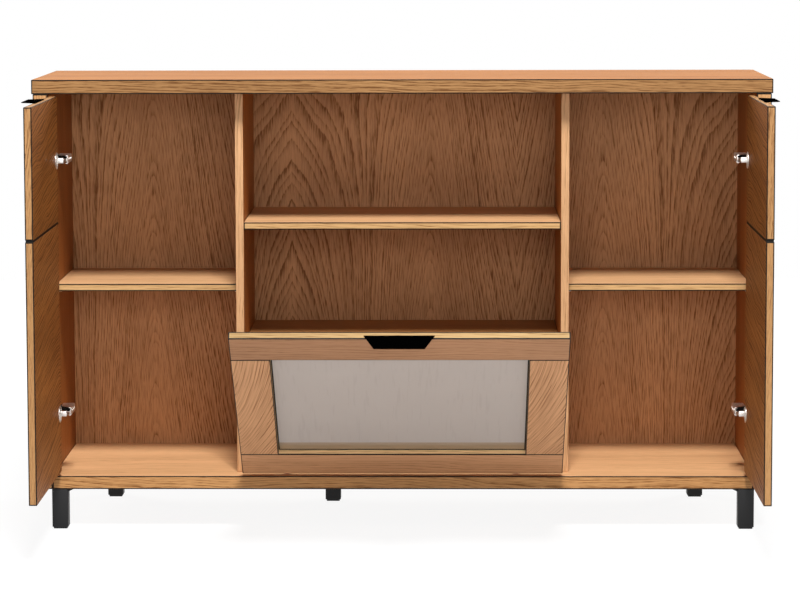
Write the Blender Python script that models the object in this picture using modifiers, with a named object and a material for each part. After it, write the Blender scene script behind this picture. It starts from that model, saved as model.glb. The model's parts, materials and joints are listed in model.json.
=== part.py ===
"""Oak sideboard on square black legs, with two hinged doors, open shelves and a glazed flap.

The cabinet stands on the floor at z = 0 with its front towards -Y and its width along X. Each door
and the flap are leaves: a leaf is drawn closed, in axes of its own that run across it from its
hinge edge, inwards, and along its hinge axis, and is then swung open to its resting place. The
doors rest a quarter turn open and the flap rests half lowered.
"""

from math import acos, cos, hypot, radians, sin, sqrt

import bmesh
import bpy
from mathutils import Matrix, Vector

# Clearances and small roundings that all pieces share
SEAT_GAP = 0.0003
ARRIS = 0.0008
CUTTER_MARGIN = 0.010

# Carcass
CASE_WIDTH = 1.600
CASE_DEPTH = 0.434
CASE_HEIGHT = 0.983
TOP_THICKNESS = 0.031
TOP_OVERHANG = 0.003
SIDE_THICKNESS = 0.032
BOTTOM_THICKNESS = 0.029
BACK_THICKNESS = 0.005
BACK_REBATE = 0.007
PARTITION_THICKNESS = 0.0175
PARTITION_RECESS = 0.052
CENTRE_BAY_WIDTH = 0.693

# Shelves, their heights measured from the carcass floor to the top of the shelf
SHELF_THICKNESS = 0.016
LOWER_SHELF_RISE = 0.289
SIDE_SHELF_RISE = 0.4105
SIDE_SHELF_RECESS = 0.105
CENTRE_SHELF_SETBACK = 0.002

# Pins that carry the side shelves
PIN_RADIUS = 0.0025
PIN_LENGTH = 0.018
PIN_BORE_DEPTH = 0.010
PIN_FRONT_INSET = 0.035
PIN_BACK_INSET = 0.045
PIN_SIDES = 12

# Legs
LEG_HEIGHT = 0.088
LEG_SIZE = 0.035
FRONT_LEG_INSET = 0.033
BACK_LEG_INSET = 0.1135
BACK_LEG_SETBACK = 0.017
MIDDLE_LEG_OFFSET = 0.1635
MIDDLE_LEG_SETBACK = 0.072
GUSSET_LENGTH = 0.014
GUSSET_HEIGHT = 0.0065
GUSSET_DEPTH = 0.020

# Doors and flap
FRONT_THICKNESS = 0.017
DOOR_SIDE_GAP = 0.003
DOOR_TOP_GAP = 0.005
DOOR_BOTTOM_GAP = 0.0105
DOOR_STRIP_HEIGHT = 0.0033
DOOR_STRIP_INSET = 0.001
DOOR_OPEN_ANGLE = radians(90)
FLAP_OVERLAP = 0.0025
FLAP_TO_DOOR_GAP = 0.003
FLAP_BOTTOM_GAP = 0.006
FLAP_HEIGHT = 0.549
FLAP_ABOVE_SHELF = 0.0035
FLAP_MEMBER_WIDTH = 0.082
FLAP_OPEN_ANGLE = radians(50)

# Glass in the flap and the bead that holds it
GLASS_THICKNESS = 0.004
GLASS_LAP = 0.010
BEAD_WIDTH = 0.018
BEAD_THICKNESS = 0.003

# Edge pulls
HANDLE_BASE_LENGTH = 0.146
HANDLE_EDGE_LENGTH = 0.104
HANDLE_REACH = 0.025
HANDLE_TAB = 0.007
HANDLE_THICKNESS = 0.002

# Cup hinges, measured across the leaf from its hinge edge and inwards from its outer face
HINGE_SHIFT = 0.002
UPPER_HINGE_DROP = 0.138
LOWER_HINGE_RISE = 0.129
FLAP_HINGE_OFFSET = 0.250
CUP_CENTRE = 0.0225
CUP_RADIUS = 0.0172
CUP_BORE_DEPTH = 0.0130
CUP_WALL = 0.0008
CUP_RIM_RADIUS = 0.0185
CUP_RIM_THICKNESS = 0.002
CUP_SIDES = 32
KNUCKLE_WIDTH = 0.011
KNUCKLE_HEIGHT = 0.011
KNUCKLE_STAND = 0.0143
LINK_HEIGHT = 0.006
LINK_THICKNESS = 0.005
LINK_ROOT = 0.001
LINK_CLEARANCE = 0.0005
LINK_STEPS = 8
TONGUE_HEIGHT = 0.009
TONGUE_SIDE_CLEARANCE = 0.0006
TONGUE_TIP_CLEARANCE = 0.0007
TONGUE_INSET = 0.0002
ARM_NOSE_DEPTH = 0.0055
ARM_REAR_DEPTH = 0.0252
ARM_HEIGHT = 0.018
ARM_SHEET = 0.002
ARM_FRONT_CLEARANCE = 0.0035
ARM_NOSE_LENGTH = 0.0095
ARM_SLOPE_LENGTH = 0.020
ARM_REAR_LENGTH = 0.035
PLATE_HEIGHT = 0.044
PLATE_THICKNESS = 0.002
PLATE_LENGTH = 0.032
TOWER_LENGTH = 0.024
TOWER_CLEARANCE = 0.0006

# Places that follow from the driving dimensions
FLOOR_TOP = LEG_HEIGHT + BOTTOM_THICKNESS
TOP_UNDERSIDE = CASE_HEIGHT - TOP_THICKNESS
SIDE_OUTER = CASE_WIDTH / 2 - TOP_OVERHANG
SIDE_INNER = SIDE_OUTER - SIDE_THICKNESS
BACK_FACE = CASE_DEPTH - BACK_THICKNESS
PARTITION_INNER = CENTRE_BAY_WIDTH / 2
PARTITION_OUTER = PARTITION_INNER + PARTITION_THICKNESS
PARTITION_CENTRE = (PARTITION_INNER + PARTITION_OUTER) / 2
CENTRE_SHELF_RECESS = PARTITION_RECESS + CENTRE_SHELF_SETBACK

FLAP_WIDTH = CENTRE_BAY_WIDTH + 2 * FLAP_OVERLAP
FLAP_PIVOT_HEIGHT = FLOOR_TOP + FLAP_BOTTOM_GAP
FLAP_TOP = FLAP_PIVOT_HEIGHT + FLAP_HEIGHT
UPPER_SHELF_TOP = FLAP_TOP - FLAP_ABOVE_SHELF
LOWER_SHELF_TOP = FLOOR_TOP + LOWER_SHELF_RISE
SIDE_SHELF_TOP = FLOOR_TOP + SIDE_SHELF_RISE

DOOR_PIVOT = SIDE_INNER - DOOR_SIDE_GAP
DOOR_WIDTH = DOOR_PIVOT - FLAP_WIDTH / 2 - FLAP_TO_DOOR_GAP
DOOR_BOTTOM = FLOOR_TOP + DOOR_BOTTOM_GAP
DOOR_TOP = TOP_UNDERSIDE - DOOR_TOP_GAP
DOOR_STRIP_BOTTOM = FLAP_TOP
DOOR_STRIP_TOP = DOOR_STRIP_BOTTOM + DOOR_STRIP_HEIGHT

# The arm's tongue runs inside the open cup when the leaf is closed
CUP_BOTTOM = FRONT_THICKNESS - CUP_BORE_DEPTH + SEAT_GAP
CUP_DISH = CUP_BOTTOM + CUP_WALL
CUP_INNER_RADIUS = CUP_RADIUS - CUP_WALL
CUP_REACH = CUP_CENTRE + sqrt(CUP_INNER_RADIUS ** 2 - (TONGUE_HEIGHT / 2) ** 2)
ARM_OUTER = CUP_REACH - TONGUE_SIDE_CLEARANCE
ARM_INNER = ARM_OUTER - ARM_SHEET
TONGUE_TIP = CUP_DISH + TONGUE_TIP_CLEARANCE

# The link and the knuckle turn just inside the tongue, about the hinge axis
LINK_RADIUS = hypot(ARM_INNER + TONGUE_INSET - HINGE_SHIFT, TONGUE_TIP - HINGE_SHIFT) - SEAT_GAP
KNUCKLE_TOP = FRONT_THICKNESS + KNUCKLE_STAND
KNUCKLE_END = HINGE_SHIFT + sqrt(LINK_RADIUS ** 2 - (KNUCKLE_TOP - HINGE_SHIFT) ** 2)
KNUCKLE_START = KNUCKLE_END - KNUCKLE_WIDTH

INWARD = Vector((0, 1, 0))
RIGHT = Vector((1, 0, 0))
UP = Vector((0, 0, 1))
SIDES = {"left": -1, "right": 1}

# Colour, roughness, metallic value and transmission of each finish
FINISHES = {
    "oak_veneer": ((0.47, 0.24, 0.10), 0.5, 0.0, 0.0),
    "oak_back": ((0.22, 0.10, 0.045), 0.6, 0.0, 0.0),
    "black_steel": ((0.022, 0.022, 0.023), 0.45, 0.6, 0.0),
    "black_strip": ((0.01, 0.01, 0.01), 0.6, 0.0, 0.0),
    "tinted_glass": ((0.55, 0.52, 0.48), 0.1, 0.0, 0.8),
    "nickel": ((0.75, 0.72, 0.68), 0.2, 1.0, 0.0),
}


def forward_reach(across, outward, open_angle):
    """How far a point of an open leaf stands in front of the case's front edges."""
    forward = (across - HINGE_SHIFT) * sin(open_angle) + (outward + HINGE_SHIFT) * cos(open_angle)
    return forward - HINGE_SHIFT


# The origin lies under the middle of the sideboard as it rests, open leaves included
FLAP_REACH = forward_reach(FLAP_HEIGHT + SEAT_GAP + HANDLE_THICKNESS, HANDLE_REACH, FLAP_OPEN_ANGLE)
DOOR_REACH = forward_reach(DOOR_WIDTH, 0, DOOR_OPEN_ANGLE)
FRONT_Y = (max(FLAP_REACH, DOOR_REACH) - CASE_DEPTH) / 2


def clear_scene():
    """Remove every object that a new file starts with."""
    for obj in list(bpy.data.objects):
        bpy.data.objects.remove(obj, do_unlink=True)


def new_collection(name):
    """Add a collection to the scene."""
    collection = bpy.data.collections.new(name)
    bpy.context.scene.collection.children.link(collection)
    return collection


def finish_material(node_name, finish):
    """Give one piece its own Principled material in a named finish."""
    colour, roughness, metallic, transmission = FINISHES[finish]
    material = bpy.data.materials.new(f"{finish}.{node_name}")
    material.use_nodes = True
    shader = material.node_tree.nodes["Principled BSDF"]
    shader.inputs["Base Color"].default_value = (*colour, 1.0)
    shader.inputs["Roughness"].default_value = roughness
    shader.inputs["Metallic"].default_value = metallic
    shader.inputs["Transmission Weight"].default_value = transmission
    material.diffuse_color = (*colour, 1.0)
    return material


class Leaf:
    """A door or the flap: its closed axes, and the empties that carry its fixed and moving pieces.

    Leaf coordinates run across the leaf from its hinge edge, inwards from its outer face, and
    along the hinge axis. The third one is given as a place along the world axis that the hinge
    follows, and sense says which way the leaf's own axis runs. The hinge axis lies a little across
    and inwards of the leaf's outer corner, so an open leaf stands a little inside the case.
    """

    def __init__(self, name, corner, across, along, open_angle):
        axis = across.cross(INWARD)
        self.sense = 1 if axis.dot(along) > 0 else -1
        closed = Matrix.Translation(corner) @ Matrix((across, INWARD, axis)).transposed().to_4x4()
        shift = Vector((HINGE_SHIFT, HINGE_SHIFT, 0))
        swing = Matrix.Rotation(-open_angle, 4, "Z")
        opened = closed @ Matrix.Translation(shift) @ swing @ Matrix.Translation(-shift)
        self.seat = add_empty(f"{name}_hinge_seat", closed)
        self.axis = add_empty(f"{name}_axis", opened)

    def corners(self, across, inward, along):
        """Turn three spans into the lowest and highest corners in leaf coordinates."""
        third = sorted(self.sense * value for value in along)
        return (across[0], inward[0], third[0]), (across[1], inward[1], third[1])


def add_empty(name, matrix):
    """Add an empty that carries pieces drawn in its axes."""
    empty = bpy.data.objects.new(name, None)
    empty.matrix_world = matrix
    PARTS.objects.link(empty)
    return empty


def add_piece(name, mesh, finish, carrier=None):
    """Make a mesh into a named piece with its material, carried by an empty if one is given."""
    piece = bpy.data.objects.new(name, mesh)
    piece.parent = carrier
    PARTS.objects.link(piece)
    mesh.materials.append(finish_material(name, finish))
    return piece


def add_cutter(name, mesh, carrier=None):
    """Make a mesh into a hidden cutter."""
    cutter = bpy.data.objects.new(name, mesh)
    cutter.parent = carrier
    cutter.hide_render = True
    cutter.display_type = "WIRE"
    CUTTERS.objects.link(cutter)
    return cutter


def box_mesh(name, low, high):
    """A block between two corners."""
    mesh = bpy.data.meshes.new(name)
    shape = bmesh.new()
    bmesh.ops.create_cube(shape, size=1.0)
    size = Vector(high) - Vector(low)
    centre = (Vector(high) + Vector(low)) / 2
    bmesh.ops.scale(shape, vec=size, verts=shape.verts)
    bmesh.ops.translate(shape, vec=centre, verts=shape.verts)
    shape.to_mesh(mesh)
    shape.free()
    return mesh


def rod_mesh(name, start, end, radius, sides):
    """A round rod from one point to another."""
    start, end = Vector(start), Vector(end)
    run = end - start
    place = Matrix.Translation((start + end) / 2) @ run.to_track_quat("Z", "Y").to_matrix().to_4x4()
    mesh = bpy.data.meshes.new(name)
    shape = bmesh.new()
    bmesh.ops.create_cone(shape, cap_ends=True, segments=sides, radius1=radius, radius2=radius,
                          depth=run.length, matrix=place)
    shape.to_mesh(mesh)
    shape.free()
    mesh.shade_smooth()
    mesh.set_sharp_from_angle(angle=radians(40))
    return mesh


def plate_mesh(name, outline, thickness, place):
    """A flat outline given thickness: drawn as a filled curve, meshed, welded and put in its place."""
    curve = bpy.data.curves.new(name, "CURVE")
    curve.dimensions = "2D"
    curve.fill_mode = "BOTH"
    curve.extrude = thickness / 2
    spline = curve.splines.new("POLY")
    spline.points.add(len(outline) - 1)
    for point, (x, y) in zip(spline.points, outline):
        point.co = (x, y, 0, 1)
    spline.use_cyclic_u = True
    guide = bpy.data.objects.new(name, curve)
    CUTTERS.objects.link(guide)
    bpy.context.view_layer.update()
    evaluated = guide.evaluated_get(bpy.context.evaluated_depsgraph_get())
    mesh = bpy.data.meshes.new_from_object(evaluated)
    bpy.data.objects.remove(guide, do_unlink=True)
    shape = bmesh.new()
    shape.from_mesh(mesh)
    bmesh.ops.remove_doubles(shape, verts=shape.verts, dist=0.00001)
    bmesh.ops.transform(shape, matrix=place, verts=shape.verts)
    bmesh.ops.recalc_face_normals(shape, faces=shape.faces)
    shape.to_mesh(mesh)
    shape.free()
    return mesh


def soften(piece, width=ARRIS):
    """Break the sharp edges of a board."""
    bevel = piece.modifiers.new("arris", "BEVEL")
    bevel.width = width
    bevel.segments = 1
    bevel.limit_method = "ANGLE"
    return piece


def combine(piece, other, operation):
    """Cut another shape from the piece, or join it on."""
    boolean = piece.modifiers.new(other.name, "BOOLEAN")
    boolean.operation = operation
    boolean.object = other
    boolean.solver = "EXACT"


def board(name, low, high, finish="oak_veneer", carrier=None):
    """A rectangular board with its edges broken."""
    return soften(add_piece(name, box_mesh(name, low, high), finish, carrier))


def case_board(name, x_span, depth_span, z_span, finish="oak_veneer"):
    """A board of the carcass, its depth measured back from the front edges."""
    low = (x_span[0], FRONT_Y + depth_span[0], z_span[0])
    high = (x_span[1], FRONT_Y + depth_span[1], z_span[1])
    return board(name, low, high, finish)


def mirrored(side, near, far):
    """A span across the cabinet on its left or right side, lowest value first."""
    return tuple(sorted((side * near, side * far)))


def build_carcass():
    """Top, bottom, sides and partitions, rebated at the back for the back panels."""
    top = case_board("top_panel", (-CASE_WIDTH / 2, CASE_WIDTH / 2), (0, CASE_DEPTH),
                     (TOP_UNDERSIDE, CASE_HEIGHT))
    half_floor = SIDE_INNER - SEAT_GAP
    bottom = case_board("bottom_panel", (-half_floor, half_floor), (0, CASE_DEPTH),
                        (LEG_HEIGHT, FLOOR_TOP))
    rebate_low = (-SIDE_INNER - BACK_REBATE, FRONT_Y + BACK_FACE - SEAT_GAP, FLOOR_TOP - BACK_REBATE)
    rebate_high = (SIDE_INNER + BACK_REBATE, FRONT_Y + CASE_DEPTH + CUTTER_MARGIN,
                   TOP_UNDERSIDE + BACK_REBATE)
    rebate = add_cutter("back_rebate", box_mesh("back_rebate", rebate_low, rebate_high))
    rebated = [top, bottom]
    standing = {}
    for word, side in SIDES.items():
        panel = case_board(f"{word}_side_panel", mirrored(side, SIDE_INNER, SIDE_OUTER), (0, CASE_DEPTH),
                           (LEG_HEIGHT, TOP_UNDERSIDE - SEAT_GAP))
        partition = case_board(f"{word}_partition", mirrored(side, PARTITION_INNER, PARTITION_OUTER),
                               (PARTITION_RECESS, BACK_FACE - SEAT_GAP),
                               (FLOOR_TOP + SEAT_GAP, TOP_UNDERSIDE - SEAT_GAP))
        rebated.append(panel)
        standing[word] = (panel, partition)
    for piece in rebated:
        combine(piece, rebate, "DIFFERENCE")
    return standing


def build_back_panels():
    """Three thin panels in the rebate, which meet behind the partitions."""
    outer = SIDE_INNER + BACK_REBATE - SEAT_GAP
    meeting = PARTITION_CENTRE
    z_span = (FLOOR_TOP - BACK_REBATE + SEAT_GAP, TOP_UNDERSIDE + BACK_REBATE - SEAT_GAP)
    depth_span = (BACK_FACE, CASE_DEPTH)
    half_centre = meeting - SEAT_GAP / 2
    case_board("centre_back_panel", (-half_centre, half_centre), depth_span, z_span, "oak_back")
    for word, side in SIDES.items():
        case_board(f"{word}_back_panel", mirrored(side, meeting + SEAT_GAP / 2, outer), depth_span,
                   z_span, "oak_back")


def shelf_span(top):
    """The height span of a shelf under its top face."""
    return (top - SHELF_THICKNESS, top)


def build_shelves(standing):
    """Two fixed centre shelves, and a loose shelf on four pins in each side bay."""
    half_bay = PARTITION_INNER - SEAT_GAP
    depth_span = (CENTRE_SHELF_RECESS, BACK_FACE - SEAT_GAP)
    case_board("centre_upper_shelf", (-half_bay, half_bay), depth_span, shelf_span(UPPER_SHELF_TOP))
    case_board("centre_lower_shelf", (-half_bay, half_bay), depth_span, shelf_span(LOWER_SHELF_TOP))
    for word, side in SIDES.items():
        case_board(f"{word}_shelf", mirrored(side, PARTITION_OUTER + SEAT_GAP, SIDE_INNER - SEAT_GAP),
                   (SIDE_SHELF_RECESS, BACK_FACE - SEAT_GAP), shelf_span(SIDE_SHELF_TOP))
        build_shelf_pins(word, side, standing[word])


def build_shelf_pins(word, side, walls):
    """Four pins under a side shelf, each half way into a bore of the wall that carries it."""
    height = SIDE_SHELF_TOP - SHELF_THICKNESS - SEAT_GAP - PIN_RADIUS
    wall_faces = ((SIDE_INNER, 1), (PARTITION_OUTER, -1))
    depths = {"front": SIDE_SHELF_RECESS + PIN_FRONT_INSET, "back": BACK_FACE - PIN_BACK_INSET}
    for wall, (face, outwards), wall_word in zip(walls, wall_faces, ("outer", "inner")):
        for depth_word, depth in depths.items():
            y = FRONT_Y + depth
            tip = side * (face - outwards * (PIN_LENGTH - PIN_BORE_DEPTH + SEAT_GAP))
            buried = side * (face + outwards * (PIN_BORE_DEPTH - SEAT_GAP))
            bore_end = side * (face + outwards * PIN_BORE_DEPTH)
            bore_start = side * (face - outwards * CUTTER_MARGIN)
            name = f"{word}_shelf_pin_{wall_word}_{depth_word}"
            pin = rod_mesh(name, (tip, y, height), (buried, y, height), PIN_RADIUS, PIN_SIDES)
            add_piece(name, pin, "nickel")
            bore = rod_mesh(f"{name}_bore", (bore_start, y, height), (bore_end, y, height),
                            PIN_RADIUS + SEAT_GAP, PIN_SIDES)
            combine(wall, add_cutter(f"{name}_bore", bore), "DIFFERENCE")


def build_leg(name, x_low, depth_low, gusset_side):
    """A square leg under the bottom panel, with a small gusset at its top on one side."""
    y_low = FRONT_Y + depth_low
    top = LEG_HEIGHT - SEAT_GAP
    leg = board(name, (x_low, y_low, 0), (x_low + LEG_SIZE, y_low + LEG_SIZE, top), "black_steel")
    face = x_low + LEG_SIZE if gusset_side > 0 else x_low
    root = face - gusset_side * LEG_SIZE / 2
    outline = [
        (root, top - ARRIS),
        (face + gusset_side * GUSSET_LENGTH, top - ARRIS),
        (face, top - GUSSET_HEIGHT),
        (root, top - GUSSET_HEIGHT),
    ]
    upright = Matrix.Translation((0, y_low + LEG_SIZE / 2, 0)) @ Matrix.Rotation(radians(90), 4, "X")
    gusset = plate_mesh(f"{name}_gusset", outline, GUSSET_DEPTH, upright)
    combine(leg, add_cutter(f"{name}_gusset", gusset), "UNION")


def build_legs():
    """Two legs at the front corners, two further in at the back, and one under the middle."""
    back_depth = CASE_DEPTH - BACK_LEG_SETBACK - LEG_SIZE
    for word, side in SIDES.items():
        front_outer = side * (CASE_WIDTH / 2 - FRONT_LEG_INSET)
        back_outer = side * (CASE_WIDTH / 2 - BACK_LEG_INSET)
        build_leg(f"front_{word}_leg", min(front_outer, front_outer - side * LEG_SIZE), 0, -side)
        build_leg(f"back_{word}_leg", min(back_outer, back_outer - side * LEG_SIZE), back_depth, -side)
    build_leg("middle_leg", -MIDDLE_LEG_OFFSET - LEG_SIZE / 2,
              CASE_DEPTH - MIDDLE_LEG_SETBACK - LEG_SIZE, 1)


def circle_part(radius, start, end):
    """Points on a circle about the hinge axis, between two places across the leaf."""
    first = acos((start - HINGE_SHIFT) / radius)
    last = acos((end - HINGE_SHIFT) / radius)
    angles = [first + (last - first) * step / LINK_STEPS for step in range(LINK_STEPS + 1)]
    return [(HINGE_SHIFT + radius * cos(angle), HINGE_SHIFT + radius * sin(angle)) for angle in angles]


def link_outline(surface):
    """The curved link, from inside the knuckle to a tip that meets the arm's tongue.

    Its outer side follows a circle about the hinge axis, so its running gap to the tongue stays the
    same as the leaf turns. The tip stops short of the case's face when the leaf is closed.
    """
    tip = surface + LINK_CLEARANCE
    outer = circle_part(LINK_RADIUS, KNUCKLE_END - LINK_ROOT, tip)
    inner = circle_part(LINK_RADIUS - LINK_THICKNESS, tip, KNUCKLE_START + LINK_ROOT)
    return [(KNUCKLE_END - LINK_ROOT, KNUCKLE_TOP - LINK_THICKNESS)] + outer + inner


def build_cup(name, leaf, along, board_piece, surface):
    """The cup of a concealed hinge, sunk in a leaf, with its knuckle and its curved link."""
    rim_under = FRONT_THICKNESS + SEAT_GAP
    rim_top = rim_under + CUP_RIM_THICKNESS
    profile = [
        (0, CUP_DISH),
        (CUP_INNER_RADIUS, CUP_DISH),
        (CUP_INNER_RADIUS, rim_top),
        (CUP_RIM_RADIUS, rim_top),
        (CUP_RIM_RADIUS, rim_under),
        (CUP_RADIUS, rim_under),
        (CUP_RADIUS, CUP_BOTTOM),
        (0, CUP_BOTTOM),
    ]
    mesh = bpy.data.meshes.new(name)
    points = [(radius, 0, height) for radius, height in profile]
    mesh.from_pydata(points, [(i, i + 1) for i in range(len(points) - 1)], [])
    cup = add_piece(name, mesh, "nickel", leaf.axis)
    w = leaf.sense * along
    cup.matrix_basis = Matrix.Translation((CUP_CENTRE, 0, w)) @ Matrix.Rotation(radians(-90), 4, "X")
    turn = cup.modifiers.new("turn", "SCREW")
    turn.axis = "Z"
    turn.steps = CUP_SIDES
    turn.render_steps = CUP_SIDES
    turn.use_merge_vertices = True
    turn.merge_threshold = 0.00001

    half = KNUCKLE_HEIGHT / 2
    knuckle = box_mesh(f"{name}_knuckle", (KNUCKLE_START, CUP_BOTTOM + CUP_WALL / 2, w - half),
                       (KNUCKLE_END, KNUCKLE_TOP, w + half))
    combine(cup, add_cutter(f"{name}_knuckle", knuckle, leaf.axis), "UNION")
    level = Matrix.Translation((0, 0, w))
    link = plate_mesh(f"{name}_link", link_outline(surface), LINK_HEIGHT, level)
    combine(cup, add_cutter(f"{name}_link", link, leaf.axis), "UNION")
    bore = rod_mesh(f"{name}_bore", (CUP_CENTRE, FRONT_THICKNESS - CUP_BORE_DEPTH, w),
                    (CUP_CENTRE, FRONT_THICKNESS + CUTTER_MARGIN, w), CUP_RADIUS + SEAT_GAP, CUP_SIDES)
    combine(board_piece, add_cutter(f"{name}_bore", bore, leaf.axis), "DIFFERENCE")


def build_arm(name, leaf, along, surface):
    """The folded steel arm of a concealed hinge and the plate that it sits on, fixed to the case.

    surface is the place of the case's face across the leaf, a little behind the hinge edge.
    """
    front = FRONT_THICKNESS + ARM_FRONT_CLEARANCE
    nose_back = front + ARM_NOSE_LENGTH
    rear_start = nose_back + ARM_SLOPE_LENGTH
    rear_end = rear_start + ARM_REAR_LENGTH
    outline = [
        (ARM_OUTER - ARM_NOSE_DEPTH, front),
        (ARM_OUTER, front),
        (ARM_OUTER, rear_end),
        (ARM_OUTER - ARM_REAR_DEPTH, rear_end),
        (ARM_OUTER - ARM_REAR_DEPTH, rear_start),
        (ARM_OUTER - ARM_NOSE_DEPTH, nose_back),
    ]
    w = leaf.sense * along
    level = Matrix.Translation((0, 0, w))
    arm = add_piece(name, plate_mesh(name, outline, ARM_HEIGHT, level), "nickel", leaf.seat)
    half_channel = ARM_HEIGHT / 2 - ARM_SHEET
    channel = box_mesh(f"{name}_channel", (-CUTTER_MARGIN, front - CUTTER_MARGIN, w - half_channel),
                       (ARM_INNER, rear_end + CUTTER_MARGIN, w + half_channel))
    combine(arm, add_cutter(f"{name}_channel", channel, leaf.seat), "DIFFERENCE")
    half_tongue = TONGUE_HEIGHT / 2
    tongue = box_mesh(f"{name}_tongue", (ARM_INNER + TONGUE_INSET, TONGUE_TIP, w - half_tongue),
                      (ARM_OUTER - TONGUE_INSET, front + ARM_NOSE_LENGTH / 2, w + half_tongue))
    combine(arm, add_cutter(f"{name}_tongue", tongue, leaf.seat), "UNION")

    plate_name = name.replace("_arm", "_plate")
    plate_start = rear_start + (ARM_REAR_LENGTH - PLATE_LENGTH) / 2
    half_plate = PLATE_HEIGHT / 2
    seat = surface + SEAT_GAP
    plate_low = (seat, plate_start, w - half_plate)
    plate_high = (seat + PLATE_THICKNESS, plate_start + PLATE_LENGTH, w + half_plate)
    plate = add_piece(plate_name, box_mesh(plate_name, plate_low, plate_high), "nickel", leaf.seat)
    tower_start = rear_start + (ARM_REAR_LENGTH - TOWER_LENGTH) / 2
    half_tower = half_channel - TOWER_CLEARANCE
    tower = box_mesh(f"{plate_name}_tower", (seat + PLATE_THICKNESS / 2, tower_start, w - half_tower),
                     (ARM_INNER - SEAT_GAP, tower_start + TOWER_LENGTH, w + half_tower))
    combine(plate, add_cutter(f"{plate_name}_tower", tower, leaf.seat), "UNION")


def build_hinge(name, leaf, along, board_piece, surface):
    """One concealed hinge: a cup on the leaf, an arm and its plate on the case."""
    build_cup(f"{name}_cup", leaf, along, board_piece, surface)
    build_arm(f"{name}_arm", leaf, along, surface)


def handle_outline(middle):
    """A long trapezoid, its wide side on the leaf's edge and its narrow side out in front."""
    half_base = HANDLE_BASE_LENGTH / 2
    half_edge = HANDLE_EDGE_LENGTH / 2
    return [
        (middle - half_base, HANDLE_TAB),
        (middle - half_edge, -HANDLE_REACH),
        (middle + half_edge, -HANDLE_REACH),
        (middle + half_base, HANDLE_TAB),
    ]


def build_door(word, side):
    """A door of an upper and a lower board joined by a thin dark strip, on two concealed hinges."""
    name = f"{word}_door"
    leaf = Leaf(name, Vector((side * DOOR_PIVOT, FRONT_Y, 0)), RIGHT * -side, UP, DOOR_OPEN_ANGLE)
    width = (0, DOOR_WIDTH)
    thickness = (0, FRONT_THICKNESS)
    lower = board(f"{name}_lower_panel",
                  *leaf.corners(width, thickness, (DOOR_BOTTOM, DOOR_STRIP_BOTTOM - SEAT_GAP)),
                  carrier=leaf.axis)
    upper = board(f"{name}_upper_panel",
                  *leaf.corners(width, thickness, (DOOR_STRIP_TOP + SEAT_GAP, DOOR_TOP)),
                  carrier=leaf.axis)
    strip_low, strip_high = leaf.corners((DOOR_STRIP_INSET, DOOR_WIDTH - DOOR_STRIP_INSET),
                                         (DOOR_STRIP_INSET, FRONT_THICKNESS - DOOR_STRIP_INSET),
                                         (DOOR_STRIP_BOTTOM, DOOR_STRIP_TOP))
    add_piece(f"{name}_strip", box_mesh(f"{name}_strip", strip_low, strip_high), "black_strip", leaf.axis)
    level = leaf.sense * (DOOR_TOP + SEAT_GAP + HANDLE_THICKNESS / 2)
    handle = plate_mesh(f"{name}_handle", handle_outline(DOOR_WIDTH / 2), HANDLE_THICKNESS,
                        Matrix.Translation((0, 0, level)))
    add_piece(f"{name}_handle", handle, "black_steel", leaf.axis)
    surface = -DOOR_SIDE_GAP
    build_hinge(f"{name}_upper_hinge", leaf, DOOR_TOP - UPPER_HINGE_DROP, upper, surface)
    build_hinge(f"{name}_lower_hinge", leaf, DOOR_BOTTOM + LOWER_HINGE_RISE, lower, surface)


def build_flap():
    """The glazed flap: two rails right across, two stiles between them, and glass behind."""
    leaf = Leaf("flap", Vector((0, FRONT_Y, FLAP_PIVOT_HEIGHT)), UP, RIGHT, FLAP_OPEN_ANGLE)
    half = FLAP_WIDTH / 2
    member = FLAP_MEMBER_WIDTH
    thickness = (0, FRONT_THICKNESS)
    bottom_rail = board("flap_bottom_rail", *leaf.corners((0, member), thickness, (-half, half)),
                        carrier=leaf.axis)
    top_rail = board("flap_top_rail",
                     *leaf.corners((FLAP_HEIGHT - member, FLAP_HEIGHT), thickness, (-half, half)),
                     carrier=leaf.axis)
    frame = [bottom_rail, top_rail]
    stile_span = (member + SEAT_GAP, FLAP_HEIGHT - member - SEAT_GAP)
    for word, side in SIDES.items():
        stile = board(f"flap_{word}_stile",
                      *leaf.corners(stile_span, thickness, mirrored(side, half - member, half)),
                      carrier=leaf.axis)
        frame.append(stile)

    seat_depth = FRONT_THICKNESS - GLASS_THICKNESS - 2 * SEAT_GAP
    lap = GLASS_LAP + SEAT_GAP
    rebate = box_mesh("glass_rebate",
                      *leaf.corners((member - lap, FLAP_HEIGHT - member + lap),
                                    (seat_depth, FRONT_THICKNESS + CUTTER_MARGIN),
                                    (member - half - lap, half - member + lap)))
    rebate_cutter = add_cutter("glass_rebate", rebate, leaf.axis)
    for piece in frame:
        combine(piece, rebate_cutter, "DIFFERENCE")
    pane = box_mesh("flap_glass",
                    *leaf.corners((member - GLASS_LAP, FLAP_HEIGHT - member + GLASS_LAP),
                                  (seat_depth + SEAT_GAP, seat_depth + SEAT_GAP + GLASS_THICKNESS),
                                  (member - half - GLASS_LAP, half - member + GLASS_LAP)))
    add_piece("flap_glass", pane, "tinted_glass", leaf.axis)
    build_bead(leaf, half)

    stand = Matrix((UP, INWARD, -RIGHT)).transposed().to_4x4()
    level = Matrix.Translation((FLAP_HEIGHT + SEAT_GAP + HANDLE_THICKNESS / 2, 0, 0))
    handle = plate_mesh("flap_handle", handle_outline(0), HANDLE_THICKNESS, level @ stand)
    add_piece("flap_handle", handle, "black_steel", leaf.axis)
    for word, side in SIDES.items():
        build_hinge(f"flap_{word}_hinge", leaf, side * FLAP_HINGE_OFFSET, bottom_rail, -FLAP_BOTTOM_GAP)


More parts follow.
